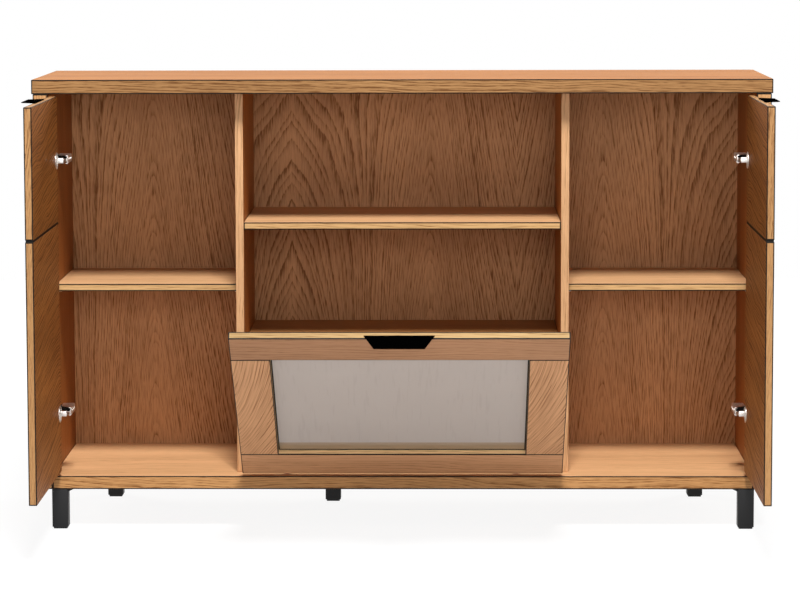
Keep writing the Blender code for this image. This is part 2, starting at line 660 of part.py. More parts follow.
def build_bead(leaf, half):
    """The thin bead that runs round the back of the glass and holds it in its rebate."""
    member = FLAP_MEMBER_WIDTH
    reach = BEAD_WIDTH - GLASS_LAP / 2
    inset = GLASS_LAP / 2
    inward = (FRONT_THICKNESS + SEAT_GAP, FRONT_THICKNESS + SEAT_GAP + BEAD_THICKNESS)
    outer = leaf.corners((member - reach, FLAP_HEIGHT - member + reach), inward,
                         (member - half - reach, half - member + reach))
    bead = add_piece("flap_glass_bead", box_mesh("flap_glass_bead", *outer), "oak_veneer", leaf.axis)
    opening = leaf.corners((member - inset, FLAP_HEIGHT - member + inset),
                           (inward[0] - CUTTER_MARGIN, inward[1] + CUTTER_MARGIN),
                           (member - half - inset, half - member + inset))
    cutter = add_cutter("bead_opening", box_mesh("bead_opening", *opening), leaf.axis)
    combine(bead, cutter, "DIFFERENCE")


clear_scene()
PARTS = new_collection("sideboard")
CUTTERS = new_collection("cutters")
build_shelves(build_carcass())
build_back_panels()
build_legs()
for side_word, side_sign in SIDES.items():
    build_door(side_word, side_sign)
build_flap()
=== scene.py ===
import json
from math import pi, radians
from typing import NamedTuple
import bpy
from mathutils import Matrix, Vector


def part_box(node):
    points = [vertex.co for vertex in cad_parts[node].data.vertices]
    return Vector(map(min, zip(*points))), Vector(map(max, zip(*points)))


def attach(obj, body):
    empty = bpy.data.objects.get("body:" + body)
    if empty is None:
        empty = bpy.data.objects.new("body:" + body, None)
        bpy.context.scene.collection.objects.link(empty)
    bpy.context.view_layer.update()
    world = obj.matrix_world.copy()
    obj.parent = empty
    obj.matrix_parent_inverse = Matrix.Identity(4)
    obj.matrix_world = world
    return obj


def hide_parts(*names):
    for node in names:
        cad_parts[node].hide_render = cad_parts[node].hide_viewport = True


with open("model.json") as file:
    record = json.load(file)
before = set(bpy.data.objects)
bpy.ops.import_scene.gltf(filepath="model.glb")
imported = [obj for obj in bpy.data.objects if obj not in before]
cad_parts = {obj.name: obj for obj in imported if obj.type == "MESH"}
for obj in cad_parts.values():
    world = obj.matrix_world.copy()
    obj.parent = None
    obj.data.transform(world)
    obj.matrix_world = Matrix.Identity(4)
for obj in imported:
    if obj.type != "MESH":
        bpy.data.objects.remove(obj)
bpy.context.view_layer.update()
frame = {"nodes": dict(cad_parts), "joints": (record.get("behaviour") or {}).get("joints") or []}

from zlib import crc32

import bmesh
import bpy
import numpy as np
from mathutils import Matrix, Vector

bl_info = {
    "name": "Sideboard Looks",
    "version": (1, 0, 0),
    "blender": (4, 5, 0),
    "location": "3D View > Sidebar > Sideboard",
    "description": "Finishes the packed sideboard with oak, glass and metal, and sets its stage",
    "category": "Material",
}

JOINTS = {joint["name"]: joint for joint in frame["joints"]}
FLAP_AXIS = Vector(JOINTS["flap_hinge"]["pos_m"])
FLAP_LEAN = radians(JOINTS["flap_hinge"]["range_deg"][1])

# A point lies on a face of its board's box when it is at most this far inside, in metres
FACE_TOLERANCE = 0.00005

# Rows of each turn: the board's across, through and along axes, as directions of the closed model
GRAIN_UP = Matrix.Identity(3)
GRAIN_UP_ON_SIDES = Matrix(((0, 1, 0), (-1, 0, 0), (0, 0, 1)))
GRAIN_ALONG_WIDTH = Matrix(((0, 1, 0), (0, 0, 1), (1, 0, 0)))
GRAIN_ALONG_WIDTH_UPRIGHT = Matrix(((0, 0, -1), (0, 1, 0), (1, 0, 0)))
GRAIN_ALONG_DEPTH_ON_SIDES = Matrix(((0, 0, 1), (1, 0, 0), (0, 1, 0)))


class Cut(NamedTuple):
    """How one kind of board lies in its log, and how its faces and its edge bands are toned. On several
    boards the tones also hold painted light and shade.

    A heart is measured from the board's middle, or from the seam where the leaves are book-matched.
    The lines lean by their slope and bend by their bow. The pores follow them by the slant, as a share
    of the lean, and the stroke length draws the pores out along the grain.
    """

    grain: Matrix
    face: tuple
    band: tuple
    heart: float = 0.3
    slope: float = 0.03
    bow: float = 0.0
    strength: float = 0.5
    spacing: float = 0.0065
    seam: float = 0.0
    leaf: float = 0.0
    slant: float = 0.0
    stroke_length: float = 1.0
    face_line: float = 0.3
    band_line: float = 1.0
    band_strength: float = 0.6


# The width of a leaf of the backs' veneer, and how far its heart lies from the seam, in metres
BACK_LEAF = 0.5186
BACK_HEART = 0.319
BACK = {"face": (0.78, 0.78, 0.80), "band": (0.9, 0.9, 0.9), "heart": BACK_HEART, "slope": 0.30,
        "strength": 1.15, "spacing": 0.012, "leaf": BACK_LEAF, "face_line": 0.0}
# Painted light: the top is toned darker, and the bottom and the shelves lighter, than their wood, evening
# out the stronger light on the top and the weaker light inside the bays
DIMMED_TOP = Cut(GRAIN_ALONG_WIDTH, (0.68, 0.54, 0.33), (0.56, 0.58, 0.52), band_strength=1.1)
FLOOR = Cut(GRAIN_ALONG_WIDTH, (1.03, 1.16, 1.33), (0.74, 0.76, 0.68), strength=0.35, band_strength=1.1)
LIT_SHELF = Cut(GRAIN_ALONG_WIDTH, (1.03, 1.19, 1.40), (0.88, 1.06, 1.08), strength=0.35)
# Painted shade: the centre's lower shelf is toned darker than the other shelves, standing for the shade in
# the lower niche
SHADED_LOW_SHELF = LIT_SHELF._replace(face=(0.60, 0.54, 0.42))
# Painted shade: the faces of the side panels and partitions, inside and out, are toned dark and red for the
# shade on the bays' inner walls; their front edges keep a wood tone
SHADED_SIDE = Cut(GRAIN_UP_ON_SIDES, (0.52, 0.36, 0.19), (0.90, 0.96, 0.94))
SHADED_PARTITION = Cut(GRAIN_UP_ON_SIDES, (0.56, 0.40, 0.20), (0.93, 1.05, 1.24), strength=0.3, band_line=0.0)
# Painted shade: the doors' faces are toned dark for the shade on their inner faces as they stand open, and
# the upper panels darker still
SHADED_DOOR = Cut(GRAIN_ALONG_DEPTH_ON_SIDES, (0.54, 0.40, 0.21), (0.64, 0.67, 0.63), heart=-0.8, slope=-0.075,
           strength=1.7, spacing=0.0044, slant=1.82, stroke_length=5.0, band_strength=0.9)
SHADED_UPPER_DOOR = SHADED_DOOR._replace(face=(0.47, 0.34, 0.155))
RAIL = Cut(GRAIN_ALONG_WIDTH_UPRIGHT, (0.62, 0.62, 0.73), (0.65, 0.82, 0.80), strength=0.4, face_line=0.7)
# Painted light: the bottom rail's face is toned lighter than the other rails, and its top edge, the ledge
# in front of the pane, far lighter, for light that the rail does not get
LIT_LOW_RAIL = RAIL._replace(face=(0.86, 0.87, 1.00), band=(1.32, 1.72, 2.05))
STILE = Cut(GRAIN_UP, (0.94, 0.98, 1.14), (0.70, 0.88, 0.87), heart=-0.046, slope=-0.66, bow=1.1,
            strength=1.1, spacing=0.014, slant=0.49, stroke_length=3.0, face_line=0.7)

BOARDS = {
    "top_panel": DIMMED_TOP,
    "bottom_panel": FLOOR,
    "centre_upper_shelf": LIT_SHELF,
    "centre_lower_shelf": SHADED_LOW_SHELF,
    "left_shelf": LIT_SHELF,
    "right_shelf": LIT_SHELF,
    "left_side_panel": SHADED_SIDE,
    "right_side_panel": SHADED_SIDE,
    "left_partition": SHADED_PARTITION,
    "right_partition": SHADED_PARTITION,
    "left_door_upper_panel": SHADED_UPPER_DOOR,
    "left_door_lower_panel": SHADED_DOOR,
    "right_door_upper_panel": SHADED_UPPER_DOOR,
    "right_door_lower_panel": SHADED_DOOR,
    "flap_top_rail": RAIL,
    "flap_bottom_rail": LIT_LOW_RAIL,
    "flap_left_stile": STILE,
    "flap_right_stile": STILE,
    "flap_glass_bead": RAIL,
    "left_back_panel": Cut(GRAIN_UP, seam=-0.897, **BACK),
    "centre_back_panel": Cut(GRAIN_UP, seam=-0.2593, **BACK),
    "right_back_panel": Cut(GRAIN_UP, seam=0.776, **BACK),
}


def paint_property(name, description, default):
    """A colour that a user would change."""
    return bpy.props.FloatVectorProperty(
        name=name, description=description, subtype="COLOR", size=3, min=0.0, max=1.0, default=default
    )


def size_property(name, description, default):
    """A small length that a user would change."""
    return bpy.props.FloatProperty(
        name=name, description=description, default=default, min=0.0, max=0.1, unit="LENGTH", precision=4
    )


class OakSettings(bpy.types.PropertyGroup):
    """Colours and fine measures of the oak."""

    light: paint_property("Light Wood", "Colour of the smooth late wood", (0.74, 0.375, 0.160))
    dark: paint_property("Dark Wood", "Colour of the open early wood", (0.25, 0.095, 0.026))
    line: paint_property("Edge Line", "Colour of the dark line along each edge", (0.006, 0.003, 0.0015))
    line_width: bpy.props.FloatProperty(
        name="Line Width", description="Width of the dark line on an edge band", default=0.0029,
        min=0.0, max=0.01, unit="LENGTH", precision=4,
    )
    roughness: bpy.props.FloatProperty(
        name="Roughness", description="Roughness of the satin lacquer", default=0.52, min=0.0, max=1.0
    )


class MetalSettings(bpy.types.PropertyGroup):
    """Colours of the painted and plated metal."""

    black: paint_property("Black Paint", "Colour of the powder coat", (0.009, 0.009, 0.0094))
    nickel: paint_property("Nickel", "Colour of the plated hinges", (0.80, 0.76, 0.72))
    strip: paint_property("Joint Strip", "Colour of the strip in the doors", (0.008, 0.007, 0.006))


class GlassSettings(bpy.types.PropertyGroup):
    """Tint and haze of the pane."""

    tint: paint_property("Tint", "Colour of the pane's haze", (0.555, 0.475, 0.42))
    # Painted shade: the colour of the darker band along the pane's foot, which stands for the shaded floor
    # of the bay behind seen through the pane
    shade_band: paint_property("Border", "Colour of the border along the pane's foot", (0.42, 0.30, 0.19))
    clearness: bpy.props.FloatProperty(
        name="Clearness", description="How much of the inside shows through", default=0.22, min=0.0, max=1.0
    )


class StageSettings(bpy.types.PropertyGroup):
    """Levels of the studio light."""

    sky: bpy.props.FloatProperty(
        name="Sky", description="Strength of the even light from all round", default=0.07, min=0.0, max=2.0
    )
    key: bpy.props.FloatProperty(
        name="Key Lamp", description="Power of the large lamp high above the front", default=635.0, min=0.0,
        max=5000.0, unit="POWER",
    )
    fill: bpy.props.FloatProperty(
        name="Fill Lamp", description="Power of the lamp beside the camera", default=100.0, min=0.0,
        max=5000.0, unit="POWER",
    )
    back: bpy.props.FloatProperty(
        name="Back Lamps", description="Power of each of the two lamps behind the ends", default=150.0,
        min=0.0, max=5000.0, unit="POWER",
    )
    floor: bpy.props.FloatVectorProperty(
        name="Floor", description="Colour of the floor for the light that it sends back", subtype="COLOR",
        size=3, min=0.0, max=1.0, default=(0.65, 0.65, 0.65),
    )


class Recipe:
    """Adds nodes to a tree and joins them up, so that a material reads as a few short steps."""

    def __init__(self, tree):
        self.tree = tree

    def add(self, kind, inputs=None, **settings):
        """Add a node, set its own settings, and set or link its inputs by name or number."""
        node = self.tree.nodes.new(kind)
        for name, value in settings.items():
            setattr(node, name, value)
        for name, value in (inputs or {}).items():
            self.feed(value, node.inputs[name])
        return node

    def feed(self, value, socket):
        """Link an output to an input, or set the input's own value."""
        if isinstance(value, bpy.types.NodeSocket):
            self.tree.links.new(value, socket)
        else:
            socket.default_value = value

    def math(self, operation, *values, clamp=False):
        """A number worked out from one to three others."""
        node = self.add("ShaderNodeMath", dict(enumerate(values)), operation=operation, use_clamp=clamp)
        return node.outputs[0]

    def vector(self, operation, *values):
        """A vector worked out from one or two others."""
        return self.add("ShaderNodeVectorMath", dict(enumerate(values)), operation=operation).outputs[0]

    def span(self, value, low, high, to_low=0.0, to_high=1.0):
        """Bring a number smoothly from one span to another, held at both ends."""
        inputs = {"Value": value, "From Min": low, "From Max": high, "To Min": to_low, "To Max": to_high}
        return self.add("ShaderNodeMapRange", inputs, interpolation_type="SMOOTHSTEP").outputs[0]

    def weigh(self, value, by, gain, base):
        """A value times base where another is 0, and times base plus gain where it is 1."""
        return self.math("MULTIPLY", value, self.math("MULTIPLY_ADD", by, gain, base))

    def noise(self, place, cells, detail=2.0, roughness=0.5):
        """Noise with a number of cells to the metre along each axis."""
        scaled = self.vector("MULTIPLY", place, cells)
        inputs = {"Vector": scaled, "Scale": 1.0, "Detail": detail, "Roughness": roughness}
        return self.add("ShaderNodeTexNoise", inputs).outputs[0]

    def mix(self, factor, first, second, blend="MIX"):
        """Blend two colours."""
        node = self.tree.nodes.new("ShaderNodeMix")
        node.data_type = "RGBA"
        node.blend_type = blend
        for index, value in ((0, factor), (6, first), (7, second)):
            self.feed(value, node.inputs[index])
        return node.outputs[2]

    def apart(self, vector):
        """The three parts of a vector."""
        return self.add("ShaderNodeSeparateXYZ", {0: vector}).outputs

    def together(self, x, y, z):
        """A vector of three numbers."""
        return self.add("ShaderNodeCombineXYZ", {0: x, 1: y, 2: z}).outputs[0]


OAK_INPUTS = {
    "NodeSocketVector": ("Place", "Half Size", "Centre", "Lot"),
    "NodeSocketFloat": (
        "Seam", "Leaf Width", "Heart", "Slope", "Bow", "Spacing", "Slant", "Stroke Length", "Strength",
        "Band Strength", "Face Line", "Band Line",
    ),
    "NodeSocketColor": ("Light", "Dark", "Band", "Line"),
}
OAK_OUTPUTS = {"Colour": "NodeSocketColor", "Relief": "NodeSocketFloat", "Openness": "NodeSocketFloat"}

# From one ring to the next through the board, how far out from the heart the rings crowd, how far
# out the plain wood at the heart fades, and how far noise moves the rings, all in metres
LAYER_SPACING = 0.0065
BUNCH = 0.319
PLAIN_SPAN = (0.03, 0.11)
SWAY = 0.050
WAVER = 0.006

# The square of the distance at which the rings turn round the heart, in square metres
HEART_ROUNDING = 0.0002

# How the distance from the heart counts in its crowded part and all along, and the lean at the seam
CROWD = 1.5
LOOSE = 0.55
SEAM_LEAN = -1.2

# How far noise moves the rings, in rings, and the cells of the first noise to the ring
UNEVEN = 1.6
UNEVEN_CELLS = 0.4
RAGGED = 0.40

# Noise cells to the metre across, through and along the grain
SWAY_CELLS = (6.0, 6.0, 2.5)
WAVER_CELLS = (30.0, 30.0, 9.0)
CLOUD_CELLS = (11.0, 11.0, 1.6)
RAGGED_CELLS = (330.0, 330.0, 16.0)
STROKE_CELLS = (420.0, 420.0, 26.0)
PORE_CELLS = (1100.0, 1100.0, 70.0)
STROKE_ROUGHNESS = 0.6
STROKE_SPAN = (0.36, 0.66)
PORE_SPAN = (0.50, 0.68)

# How the early wood sets in over its year and fades by a power, and how far each thing weighs: what
# it adds at its fullest, and what is left without it
ONSET = 0.12
FADE = 2.8
CHANCE_WEIGHT = (0.8, 0.5)
STROKE_WEIGHT = (0.9, 0.35)
PLAIN_WEIGHT = (0.55, 0.45)
PORE_WEIGHT = (0.8, 0.35)

# What each thing adds to the dark wood and to the relief, and the solid share of an edge's dark line
EARLY_DARK = 1.15
STROKE_DARK = 0.22
PORE_DARK = 0.22
CLOUD_DARK = 0.8
GROUND_DARK = 0.10
EARLY_RELIEF = -0.4
PORE_RELIEF = -0.6
LINE_CORE = 0.7


class Spot(NamedTuple):
    """What the steps of the oak's recipe share about a point: its place in the leaf and in the log."""

    leaf: bpy.types.NodeSocket
    through: bpy.types.NodeSocket
    above: bpy.types.NodeSocket
    slope: bpy.types.NodeSocket
    mirrored: bpy.types.NodeSocket
    log: bpy.types.NodeSocket


def board_spot(recipe, given, swap):
    """A point's place in its leaf and in the log, with across and along changed over where swap is 1."""
    across, through, along = recipe.apart(recipe.vector("ADD", given["Place"], given["Centre"]))
    turned = recipe.add("ShaderNodeMix", {
        0: swap, 4: recipe.together(across, through, along), 5: recipe.together(along, through, across),
    }, data_type="VECTOR").outputs[1]
    across, through, along = recipe.apart(turned)
    above = recipe.math("SUBTRACT", along, recipe.apart(given["Centre"])[2])
    slope = recipe.math("MULTIPLY_ADD", above, given["Bow"], given["Slope"])
    leaf = recipe.math("PINGPONG", recipe.math("SUBTRACT", across, given["Seam"]), given["Leaf Width"])
    mirrored = recipe.vector("ADD", recipe.together(leaf, through, along), given["Lot"])
    slanted = recipe.math("MULTIPLY_ADD", recipe.math("MULTIPLY", above, slope), given["Slant"], across)
    stretched = recipe.math("DIVIDE", along, given["Stroke Length"])
    log = recipe.vector("ADD", recipe.together(slanted, through, stretched), given["Lot"])
    return Spot(leaf, through, above, slope, mirrored, log)


def heart_distance(recipe, leaf, heart):
    """The distance from the heart's line as the rings count it, and 0 on plain wood at the heart.

    A distance d counts as LOOSE * d + CROWD * 2 BUNCH / pi * sin(pi d / 2 BUNCH), with d held at
    BUNCH in the sine, so the rings crowd near the heart and thin out away from it.
    """
    apart = recipe.math("SUBTRACT", leaf, heart)
    apart = recipe.math("SQRT", recipe.math("MULTIPLY_ADD", apart, apart, HEART_ROUNDING))
    near = recipe.math("MINIMUM", apart, BUNCH)
    crowded = recipe.math("SINE", recipe.math("MULTIPLY", near, pi / 2 / BUNCH))
    loose = recipe.math("MULTIPLY", apart, LOOSE)
    counted = recipe.math("MULTIPLY_ADD", crowded, CROWD * BUNCH * 2 / pi, loose)
    return counted, recipe.span(apart, *PLAIN_SPAN)


def ring_number(recipe, spacing, spot, counted):
    """How many rings lie between the heart and a point.

    The slope adds its share of the length along the grain to the distance from the heart, and noise
    sways the rings and makes them uneven and ragged.
    """
    lean = recipe.math("MULTIPLY", recipe.span(spot.leaf, 0.0, BUNCH, SEAM_LEAN, 1.0), spot.slope)
    depth = recipe.math("MULTIPLY_ADD", spot.above, lean, counted)
    depth = recipe.math("MULTIPLY_ADD", recipe.noise(spot.mirrored, SWAY_CELLS), SWAY, depth)
    depth = recipe.math("MULTIPLY_ADD", recipe.noise(spot.mirrored, WAVER_CELLS), WAVER, depth)
    rings = recipe.math("DIVIDE", depth, spacing)
    rings = recipe.math("MULTIPLY_ADD", spot.through, 1 / LAYER_SPACING, rings)
    uneven = recipe.add("ShaderNodeTexNoise", {
        "W": rings, "Scale": UNEVEN_CELLS, "Detail": 1.0,
    }, noise_dimensions="1D").outputs[0]
    rings = recipe.math("MULTIPLY_ADD", uneven, UNEVEN, rings)
    ragged = recipe.noise(spot.log, RAGGED_CELLS, roughness=STROKE_ROUGHNESS)
    return recipe.math("MULTIPLY_ADD", ragged, RAGGED, rings)


def early_wood(recipe, rings, plain, log):
    """The early wood's openness, the strokes that break it up, and its pores."""
    year = recipe.math("FRACT", rings)
    ring = recipe.math("FLOOR", rings)
    chance = recipe.add("ShaderNodeTexWhiteNoise", {"W": ring}, noise_dimensions="1D").outputs["Value"]
    stroke = recipe.span(recipe.noise(log, STROKE_CELLS, roughness=STROKE_ROUGHNESS), *STROKE_SPAN)
    early = recipe.math("POWER", recipe.math("SUBTRACT", 1.0, year), FADE)
    early = recipe.math("MULTIPLY", early, recipe.span(year, 0.0, ONSET))
    early = recipe.weigh(early, chance, *CHANCE_WEIGHT)
    early = recipe.weigh(early, stroke, *STROKE_WEIGHT)
    early = recipe.weigh(early, plain, *PLAIN_WEIGHT)
    pore = recipe.span(recipe.noise(log, PORE_CELLS, detail=1.0), *PORE_SPAN)
    return early, stroke, recipe.weigh(pore, early, *PORE_WEIGHT)


def edge_line(recipe, given, distances, on_face, on_band):
    """1 on the dark line along the board's edges, and 0 elsewhere.

    On a face one distance to the board's box is nought, so the middle one of the three is the
    distance to the nearest edge.
    """
    to_side, to_face, to_end = distances
    nearer = recipe.math("MINIMUM", to_side, to_face)
    farther = recipe.math("MAXIMUM", to_side, to_face)
    edge = recipe.math("MAXIMUM", nearer, recipe.math("MINIMUM", farther, to_end))
    width = recipe.math("MULTIPLY", on_face, given["Face Line"])
    width = recipe.math("MULTIPLY_ADD", on_band, given["Band Line"], width)
    width = recipe.math("MAXIMUM", width, FACE_TOLERANCE)
    core = recipe.math("MULTIPLY", width, LINE_CORE)
    return recipe.math("SUBTRACT", 1.0, recipe.span(edge, core, width))


def oak_group():
    """The oak as a node group in board axes: across the grain, through the board, along the grain.

    The yearly rings meet the board's face where the distance from the heart's line, plus a slope
    times the length along the grain, comes to a whole number of rings, so they draw nested arches
    over the heart and near-straight lines beside it. The leaves are book-matched: the distance
    across runs forth and back between two seams, and the slope turns over near the seam. Each ring
    starts with a ragged dark line of open pores and fades to smooth late wood. A face on the end of
    the board wears a band with its grain along the edge.
    """
    found = bpy.data.node_groups.get("oak")
    if found:
        return found
    group = bpy.data.node_groups.new("oak", "ShaderNodeTree")
    for kind, names in OAK_INPUTS.items():
        for name in names:
            group.interface.new_socket(name=name, in_out="INPUT", socket_type=kind)
    for name, kind in OAK_OUTPUTS.items():
        group.interface.new_socket(name=name, in_out="OUTPUT", socket_type=kind)

    recipe = Recipe(group)
    given = group.nodes.new("NodeGroupInput").outputs
    inside = recipe.vector("SUBTRACT", given["Half Size"], recipe.vector("ABSOLUTE", given["Place"]))
    distances = recipe.apart(inside)
    on_face = recipe.math("LESS_THAN", distances[1], FACE_TOLERANCE)
    on_end = recipe.math("LESS_THAN", distances[2], FACE_TOLERANCE)
    on_band = recipe.math("SUBTRACT", 1.0, on_face)

    spot = board_spot(recipe, given, recipe.math("MULTIPLY", on_end, on_band))
    counted, plain = heart_distance(recipe, spot.leaf, given["Heart"])
    rings = ring_number(recipe, given["Spacing"], spot, counted)
    early, stroke, pore = early_wood(recipe, rings, plain, spot.log)
    cloud = recipe.math("SUBTRACT", recipe.noise(spot.mirrored, CLOUD_CELLS, detail=3.0), 0.5)

    strength = recipe.math("MULTIPLY", on_band, given["Band Strength"])
    strength = recipe.math("MULTIPLY_ADD", on_face, given["Strength"], strength)
    amount = recipe.math("MULTIPLY", early, EARLY_DARK)
    amount = recipe.math("MULTIPLY_ADD", stroke, STROKE_DARK, amount)
    amount = recipe.math("MULTIPLY_ADD", pore, PORE_DARK, amount)
    amount = recipe.math("MULTIPLY", amount, strength)
    amount = recipe.math("MULTIPLY_ADD", cloud, CLOUD_DARK, amount)
    amount = recipe.math("ADD", amount, GROUND_DARK, clamp=True)
    wood = recipe.mix(amount, given["Light"], given["Dark"])
    wood = recipe.mix(on_band, wood, recipe.mix(1.0, wood, given["Band"], "MULTIPLY"))
    line = edge_line(recipe, given, distances, on_face, on_band)
    relief = recipe.math("MULTIPLY_ADD", pore, PORE_RELIEF, recipe.math("MULTIPLY", early, EARLY_RELIEF))

    result = group.nodes.new("NodeGroupOutput")
    recipe.feed(recipe.mix(line, wood, given["Line"]), result.inputs["Colour"])
    recipe.feed(relief, result.inputs["Relief"])
    recipe.feed(early, result.inputs["Openness"])
    return group


def new_material(name):
    """A material with its Principled shader, and a recipe to add to it."""
    material = bpy.data.materials.new(name)
    material.use_nodes = True
    return material, material.node_tree.nodes["Principled BSDF"], Recipe(material.node_tree)


def wear(node, material):
    """Give a CAD node one material in place of those that it came with."""
    slots = frame["nodes"][node].material_slots
    for index in range(len(slots)):
        slots[index].link = "OBJECT"
        slots[index].material = material


def toned(colour, tone):
    """A colour times a tone, with its alpha."""
    return (*(value * part for value, part in zip(colour, tone)), 1.0)


def node_points(node):
    """The corners of a CAD node as an array."""
    mesh = frame["nodes"][node].data
    points = np.empty(len(mesh.vertices) * 3, np.float32)
    mesh.vertices.foreach_get("co", points)
    return points.reshape(-1, 3)


# The width in metres of a board's one leaf where none are matched, and how many places in the log
# the boards are cut from
WHOLE_LEAF = 8.0
LOTS = 97

# How strongly the pores show as relief and how deep, in metres, how much rougher the lacquer is over
# open wood, and the strength of its reflections
RELIEF_STRENGTH = 0.3
RELIEF_DEPTH = 0.0006
OPEN_ROUGHNESS = 0.14
OAK_GLOSS = 0.16


def oak_material(node, settings):
    """Oak for one board, with the grain laid along it and its own place in the log."""
    cut = BOARDS[node]
    closed = Matrix.Identity(4)
    if node.startswith("flap"):
        pivot = Matrix.Translation(FLAP_AXIS)
        closed = pivot @ Matrix.Rotation(-FLAP_LEAN, 4, "X") @ pivot.inverted()
    lay = cut.grain.to_4x4() @ closed
    points = node_points(node) @ np.array(lay.to_3x3()).T + np.array(lay.translation)
    low, high = points.min(0), points.max(0)
    centre, half = (low + high) / 2, (high - low) / 2

    material, shader, recipe = new_material(f"oak.{node}")
    laid = recipe.add("ShaderNodeMapping", {
        "Vector": recipe.add("ShaderNodeTexCoord").outputs["Object"],
        "Location": tuple(np.array(lay.translation) - centre),
        "Rotation": tuple(lay.to_euler()),
    }, vector_type="POINT")
    matched = cut.leaf > 0
    lot = crc32(("back" if matched else node).encode()) % LOTS / LOTS
    seam = cut.seam if matched else centre[0] - WHOLE_LEAF / 2
    heart = cut.heart if matched else cut.heart + WHOLE_LEAF / 2
    wood = recipe.add("ShaderNodeGroup", node_tree=oak_group())
    values = {
        "Place": laid.outputs[0],
        "Half Size": tuple(half),
        "Centre": tuple(centre),
        "Lot": (lot, lot, lot),
        "Seam": seam,
        "Leaf Width": cut.leaf or WHOLE_LEAF,
        "Heart": heart,
        "Slope": cut.slope,
        "Bow": cut.bow,
        "Spacing": cut.spacing,
        "Slant": cut.slant,
        "Stroke Length": cut.stroke_length,
        "Strength": cut.strength,
        "Band Strength": cut.band_strength,
        "Face Line": cut.face_line * settings.line_width,
        "Band Line": cut.band_line * settings.line_width,
        "Light": toned(settings.light, cut.face),
        "Dark": toned(settings.dark, cut.face),
        "Band": toned(cut.band, [1 / part for part in cut.face]),
        "Line": (*settings.line, 1.0),
    }
    for name, value in values.items():
        recipe.feed(value, wood.inputs[name])
    bump = recipe.add("ShaderNodeBump", {
        "Height": wood.outputs["Relief"], "Strength": RELIEF_STRENGTH, "Distance": RELIEF_DEPTH,
    })
    rough = recipe.math("MULTIPLY_ADD", wood.outputs["Openness"], OPEN_ROUGHNESS, settings.roughness)
    recipe.feed(wood.outputs["Colour"], shader.inputs["Base Color"])
    recipe.feed(rough, shader.inputs["Roughness"])
    recipe.feed(bump.outputs[0], shader.inputs["Normal"])
    shader.inputs["Specular IOR Level"].default_value = OAK_GLOSS
    return material


class SIDEBOARD_OT_oak(bpy.types.Operator):
    """Give every wooden board its oak, with the grain laid along it."""

    bl_idname = "sideboard.oak"
    bl_label = "Oak Boards"

    def execute(self, context):
        settings = context.scene.sideboard_oak
        for node in BOARDS:
            wear(node, oak_material(node, settings))
        return {"FINISHED"}


class Coat(NamedTuple):
    """A painted or rubber skin.

    It has the setting that colours it, the share of that colour, its roughness, the cells of its skin
    to the metre and the strength of its reflections.
    """

    colour: str
    share: float
    roughness: float
    cells: float
    gloss: float


COATS = {
    "powder_coat": Coat("black", share=1.0, roughness=0.5, cells=1500.0, gloss=0.25),
    "pull_paint": Coat("black", share=0.04, roughness=0.6, cells=1500.0, gloss=0.0),
    "joint_strip": Coat("strip", share=1.0, roughness=0.6, cells=800.0, gloss=0.1),
}

# A coat's patches, with the tones between which they drift, and the grain of its skin
PATCH_CELLS = 14.0
PATCH_TONES = (0.8, 1.25)
SKIN_DETAIL = 3.0
SKIN_NOISE_ROUGHNESS = 0.6
SKIN_SPAN = (0.3, 0.7)
SKIN_SPREAD = 0.08
SKIN_STRENGTH = 0.35
SKIN_DEPTH = 0.0003

# The brushing of the plate, and between which values its roughness drifts
BRUSH_CELLS = (900.0, 900.0, 200.0)
BRUSH_ROUGHNESS = (0.26, 0.40)


def coated(name):
    """A coat with a fine textured skin, made when it is first asked for."""
    found = bpy.data.materials.get(name)
    if found:
        return found
    coat = COATS[name]
    colour = getattr(bpy.context.scene.sideboard_metal, coat.colour)
    material, shader, recipe = new_material(name)
    shader.inputs["Specular IOR Level"].default_value = coat.gloss
    place = recipe.add("ShaderNodeTexCoord").outputs["Object"]
    skin = recipe.noise(place, (coat.cells,) * 3, SKIN_DETAIL, SKIN_NOISE_ROUGHNESS)
    patch = recipe.noise(place, (PATCH_CELLS,) * 3)
    dim, bright = (toned(colour, (coat.share * tone,) * 3) for tone in PATCH_TONES)
    rough = recipe.span(skin, *SKIN_SPAN, coat.roughness - SKIN_SPREAD, coat.roughness + SKIN_SPREAD)
    bump = recipe.add("ShaderNodeBump", {
        "Height": skin, "Strength": SKIN_STRENGTH, "Distance": SKIN_DEPTH,
    })
    recipe.feed(recipe.mix(patch, dim, bright), shader.inputs["Base Color"])
    recipe.feed(rough, shader.inputs["Roughness"])
    recipe.feed(bump.outputs[0], shader.inputs["Normal"])
    return material


def nickel_plated():
    """Nickel plate with a faint brushing, made when it is first asked for."""
    found = bpy.data.materials.get("nickel_plate")
    if found:
        return found
    material, shader, recipe = new_material("nickel_plate")
    place = recipe.add("ShaderNodeTexCoord").outputs["Object"]
    brush = recipe.noise(place, BRUSH_CELLS)
    recipe.feed(recipe.span(brush, *SKIN_SPAN, *BRUSH_ROUGHNESS), shader.inputs["Roughness"])
    colour = bpy.context.scene.sideboard_metal.nickel
    shader.inputs["Base Color"].default_value = (*colour, 1.0)
    shader.inputs["Metallic"].default_value = 1.0
    return material


class SIDEBOARD_OT_metal(bpy.types.Operator):
    """Colour the joint strips and plate the shelf pins."""

    bl_idname = "sideboard.metal"
    bl_label = "Metal Fittings"

    def execute(self, context):
        for node in frame["nodes"]:
            if node.endswith("_strip"):
                wear(node, coated("joint_strip"))
            elif "_pin_" in node:
                wear(node, nickel_plated())
        return {"FINISHED"}


# Upright marks and clouds in the pane: their noise cells to the metre, the share that each has in
# darkening the haze, and the haze's tone where both are full
MARK_CELLS = (160.0, 12.0, 12.0)
HAZE_CELLS = (6.0, 5.0, 5.0)
MARK_SPAN = (0.54, 0.72)
MARK_SHARE = 0.5
HAZE_SHARE = 0.5
MARK_TONE = 0.90

# The height of the band of painted shade along the pane's foot, where the shaded floor of the bay behind
# shows through, in metres, and the pane's shine
SHADE_BAND_HEIGHT = 0.026
GLASS_ROUGHNESS = 0.12
GLASS_IOR = 1.45


